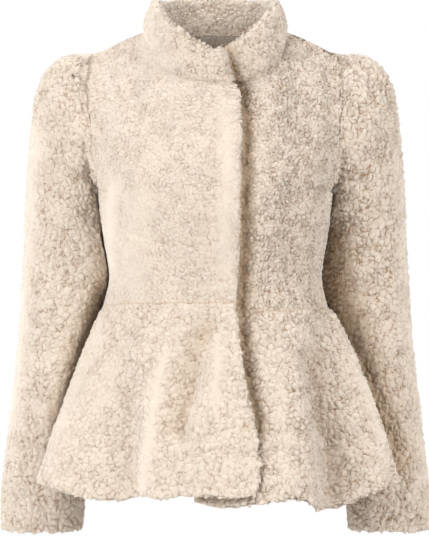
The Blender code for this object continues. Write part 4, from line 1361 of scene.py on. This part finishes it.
# Each piece: its part of the coat, how its shell is made, the width, length and area of its
# flat cloth, how it is held, what it rests on, how deep its creases are, how much smoother its
# pile lies, or curlier below 0, and whether it has every point inside too
Cut = namedtuple(
    "Cut", "part make width length area held rests_on relief smooth fine_inside",
    defaults=(False,))
CUTS = {
    "bodice_front_right": Cut("bodice", partial(bodice_front_shell, -1), 0.295, 0.406, 0.081,
                              "stretched", "collar_fur", 1.0, 0.12),
    "bodice_front_left": Cut("bodice", partial(bodice_front_shell, 1), 0.290, 0.414, 0.081,
                             "stretched", "collar_fur", 1.35, -0.5),
    "bodice_back": Cut("bodice", bodice_back_shell, 0.445, 0.405, 0.147,
                       "stretched", "collar_fur", 1.0, 0.1, True),
    "peplum_front_right": Cut("peplum", partial(peplum_front_shell, -1), 0.421, 0.278, 0.088,
                              "hung", "bodice_front_right_fur", 1.0, 0.05),
    "peplum_front_left": Cut("peplum", partial(peplum_front_shell, 1), 0.432, 0.280, 0.089,
                             "hung", "bodice_front_left_fur", 1.3, -0.25),
    "peplum_back": Cut("peplum", peplum_back_shell, 0.568, 0.485, 0.143,
                       "hung", "bodice_back_fur", 1.0, 0.0),
    "sleeve_right": Cut("sleeve", partial(sleeve_shell, -1), 0.520, 0.693, 0.207,
                        "hung", "bodice_back_fur", 1.0, -0.1),
    "sleeve_left": Cut("sleeve", partial(sleeve_shell, 1), 0.520, 0.693, 0.207,
                       "hung", "bodice_back_fur", 1.15, -0.4),
    "collar": Cut("collar", collar_shell, 0.616, 0.066, 0.038,
                  "stretched", "bodice_back_fur", 1.15, -0.25, True),
}


def add_object(context, name, data):
    """A new object of the scene."""
    item = bpy.data.objects.new(name, data)
    context.collection.objects.link(item)
    return item


def sew(context, node, cut):
    """One sewn piece as an object that stands for its solid."""
    pile = context.scene.coat_pile
    mesh = wall_mesh(node + "_fur", cut, getattr(pile, cut.part + "_curl") / MM)
    piece = add_object(context, node + "_fur", mesh)
    piece.modifiers.new("curl_relief", "NODES").node_group = relief_group(pile)
    context.view_layer.update()
    shaped = piece.evaluated_get(context.evaluated_depsgraph_get())
    finished = bpy.data.meshes.new_from_object(shaped)
    piece.modifiers.clear()
    piece.data = finished
    bpy.data.meshes.remove(mesh)
    finished.name = node + "_fur"
    finished.materials.clear()
    finished.materials.append(fur_material(pile))
    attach(piece, "root")
    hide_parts(node)


class Sewing:
    """Sews the pieces of one part of the coat, in the order of their table."""

    def execute(self, context):
        for node, cut in CUTS.items():
            if cut.part == self.part:
                sew(context, node, cut)
        return {"FINISHED"}


class COAT_OT_bodice(Sewing, bpy.types.Operator):
    """Sew the lapped fronts and the back of the bodice"""

    bl_idname = "coat.bodice"
    bl_label = "Bodice"
    part = "bodice"


class COAT_OT_peplum(Sewing, bpy.types.Operator):
    """Sew the fluted fronts and the back of the peplum"""

    bl_idname = "coat.peplum"
    bl_label = "Peplum"
    part = "peplum"


class COAT_OT_sleeves(Sewing, bpy.types.Operator):
    """Sew the two sleeves"""

    bl_idname = "coat.sleeves"
    bl_label = "Sleeves"
    part = "sleeve"


class COAT_OT_collar(Sewing, bpy.types.Operator):
    """Sew the doubled stand collar"""

    bl_idname = "coat.collar"
    bl_label = "Collar"
    part = "collar"


def add_lamp(context, lamp, power):
    """A square soft light, turned to the coat."""
    light = bpy.data.lights.new(lamp.setting + "_light", "AREA")
    light.size = lamp.size
    light.energy = power
    light.color = LAMP_COLOUR
    item = add_object(context, light.name, light)
    turn, rise = math.radians(lamp.bearing), math.radians(lamp.height)
    level = math.cos(rise)
    away = Vector((math.sin(turn) * level, -math.cos(turn) * level, math.sin(rise)))
    item.location = Vector(LAMP_TARGET) + away * LAMP_DISTANCE
    item.rotation_euler = (-away).to_track_quat("-Z", "Y").to_euler()


class COAT_OT_stage(bpy.types.Operator):
    """Set the floor, the lights and the camera"""

    bl_idname = "coat.stage"
    bl_label = "Stage"

    def execute(self, context):
        look = context.scene.coat_stage
        bm = bmesh.new()
        bmesh.ops.create_circle(
            bm, cap_ends=True, radius=look.floor_radius, segments=FLOOR_SIDES)
        bmesh.ops.translate(bm, verts=bm.verts, vec=(0, 0, -look.floor_drop))
        mesh = bpy.data.meshes.new("floor")
        bm.to_mesh(mesh)
        bm.free()
        floor = add_object(context, "floor", mesh)
        paper = bpy.data.materials.new("pale_floor")
        surfaced(paper, FLOOR_SURFACE)
        mesh.materials.append(paper)
        for lamp in LAMPS:
            add_lamp(context, lamp, getattr(look, lamp.setting))
        world = bpy.data.worlds.new("studio")
        context.scene.world = world
        world.use_nodes = True
        nodes = Nodes(world.node_tree)
        back = world.node_tree.nodes["Background"]
        seen = Value(nodes, nodes.add("ShaderNodeLightPath").outputs["Is Camera Ray"])
        strength = seen * (1 - look.ambient) + look.ambient
        around = nodes.mix(seen, look.around, WHITE)
        world.node_tree.links.new(around, back.inputs["Color"])
        world.node_tree.links.new(strength.socket, back.inputs["Strength"])
        camera = add_object(context, "camera", bpy.data.cameras.new("camera"))
        camera.location = CAMERA_AT
        camera.rotation_euler = (math.pi / 2, 0.0, 0.0)
        camera.data.lens = CAMERA_LENS
        context.scene.camera = camera
        context.scene.view_settings.view_transform = "Standard"
        return {"FINISHED"}


OPERATORS = (COAT_OT_bodice, COAT_OT_peplum, COAT_OT_sleeves, COAT_OT_collar, COAT_OT_stage)


class COAT_PT_panel(bpy.types.Panel):
    """Steps and settings of the coat"""

    bl_idname = "COAT_PT_panel"
    bl_label = "Faux fur coat"
    bl_space_type = "VIEW_3D"
    bl_region_type = "UI"
    bl_category = "Coat"

    def draw(self, context):
        for step in OPERATORS:
            self.layout.operator(step.bl_idname)
        for settings in (context.scene.coat_pile, context.scene.coat_stage):
            box = self.layout.box()
            for name in settings.bl_rna.properties.keys():
                if name not in ("rna_type", "name"):
                    box.prop(settings, name)


CLASSES = (CoatPile, CoatStage) + OPERATORS + (COAT_PT_panel,)


def register():
    """Add the classes and the settings."""
    for item in CLASSES:
        bpy.utils.register_class(item)
    bpy.types.Scene.coat_pile = bpy.props.PointerProperty(type=CoatPile)
    bpy.types.Scene.coat_stage = bpy.props.PointerProperty(type=CoatStage)


def unregister():
    """Take the settings and the classes away."""
    del bpy.types.Scene.coat_stage
    del bpy.types.Scene.coat_pile
    for item in reversed(CLASSES):
        bpy.utils.unregister_class(item)


def main():
    """Sew the coat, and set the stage."""
    register()
    for step in OPERATORS:
        group, name = step.bl_idname.split(".")
        getattr(getattr(bpy.ops, group), name)()


if __name__ == "__main__":
    main()
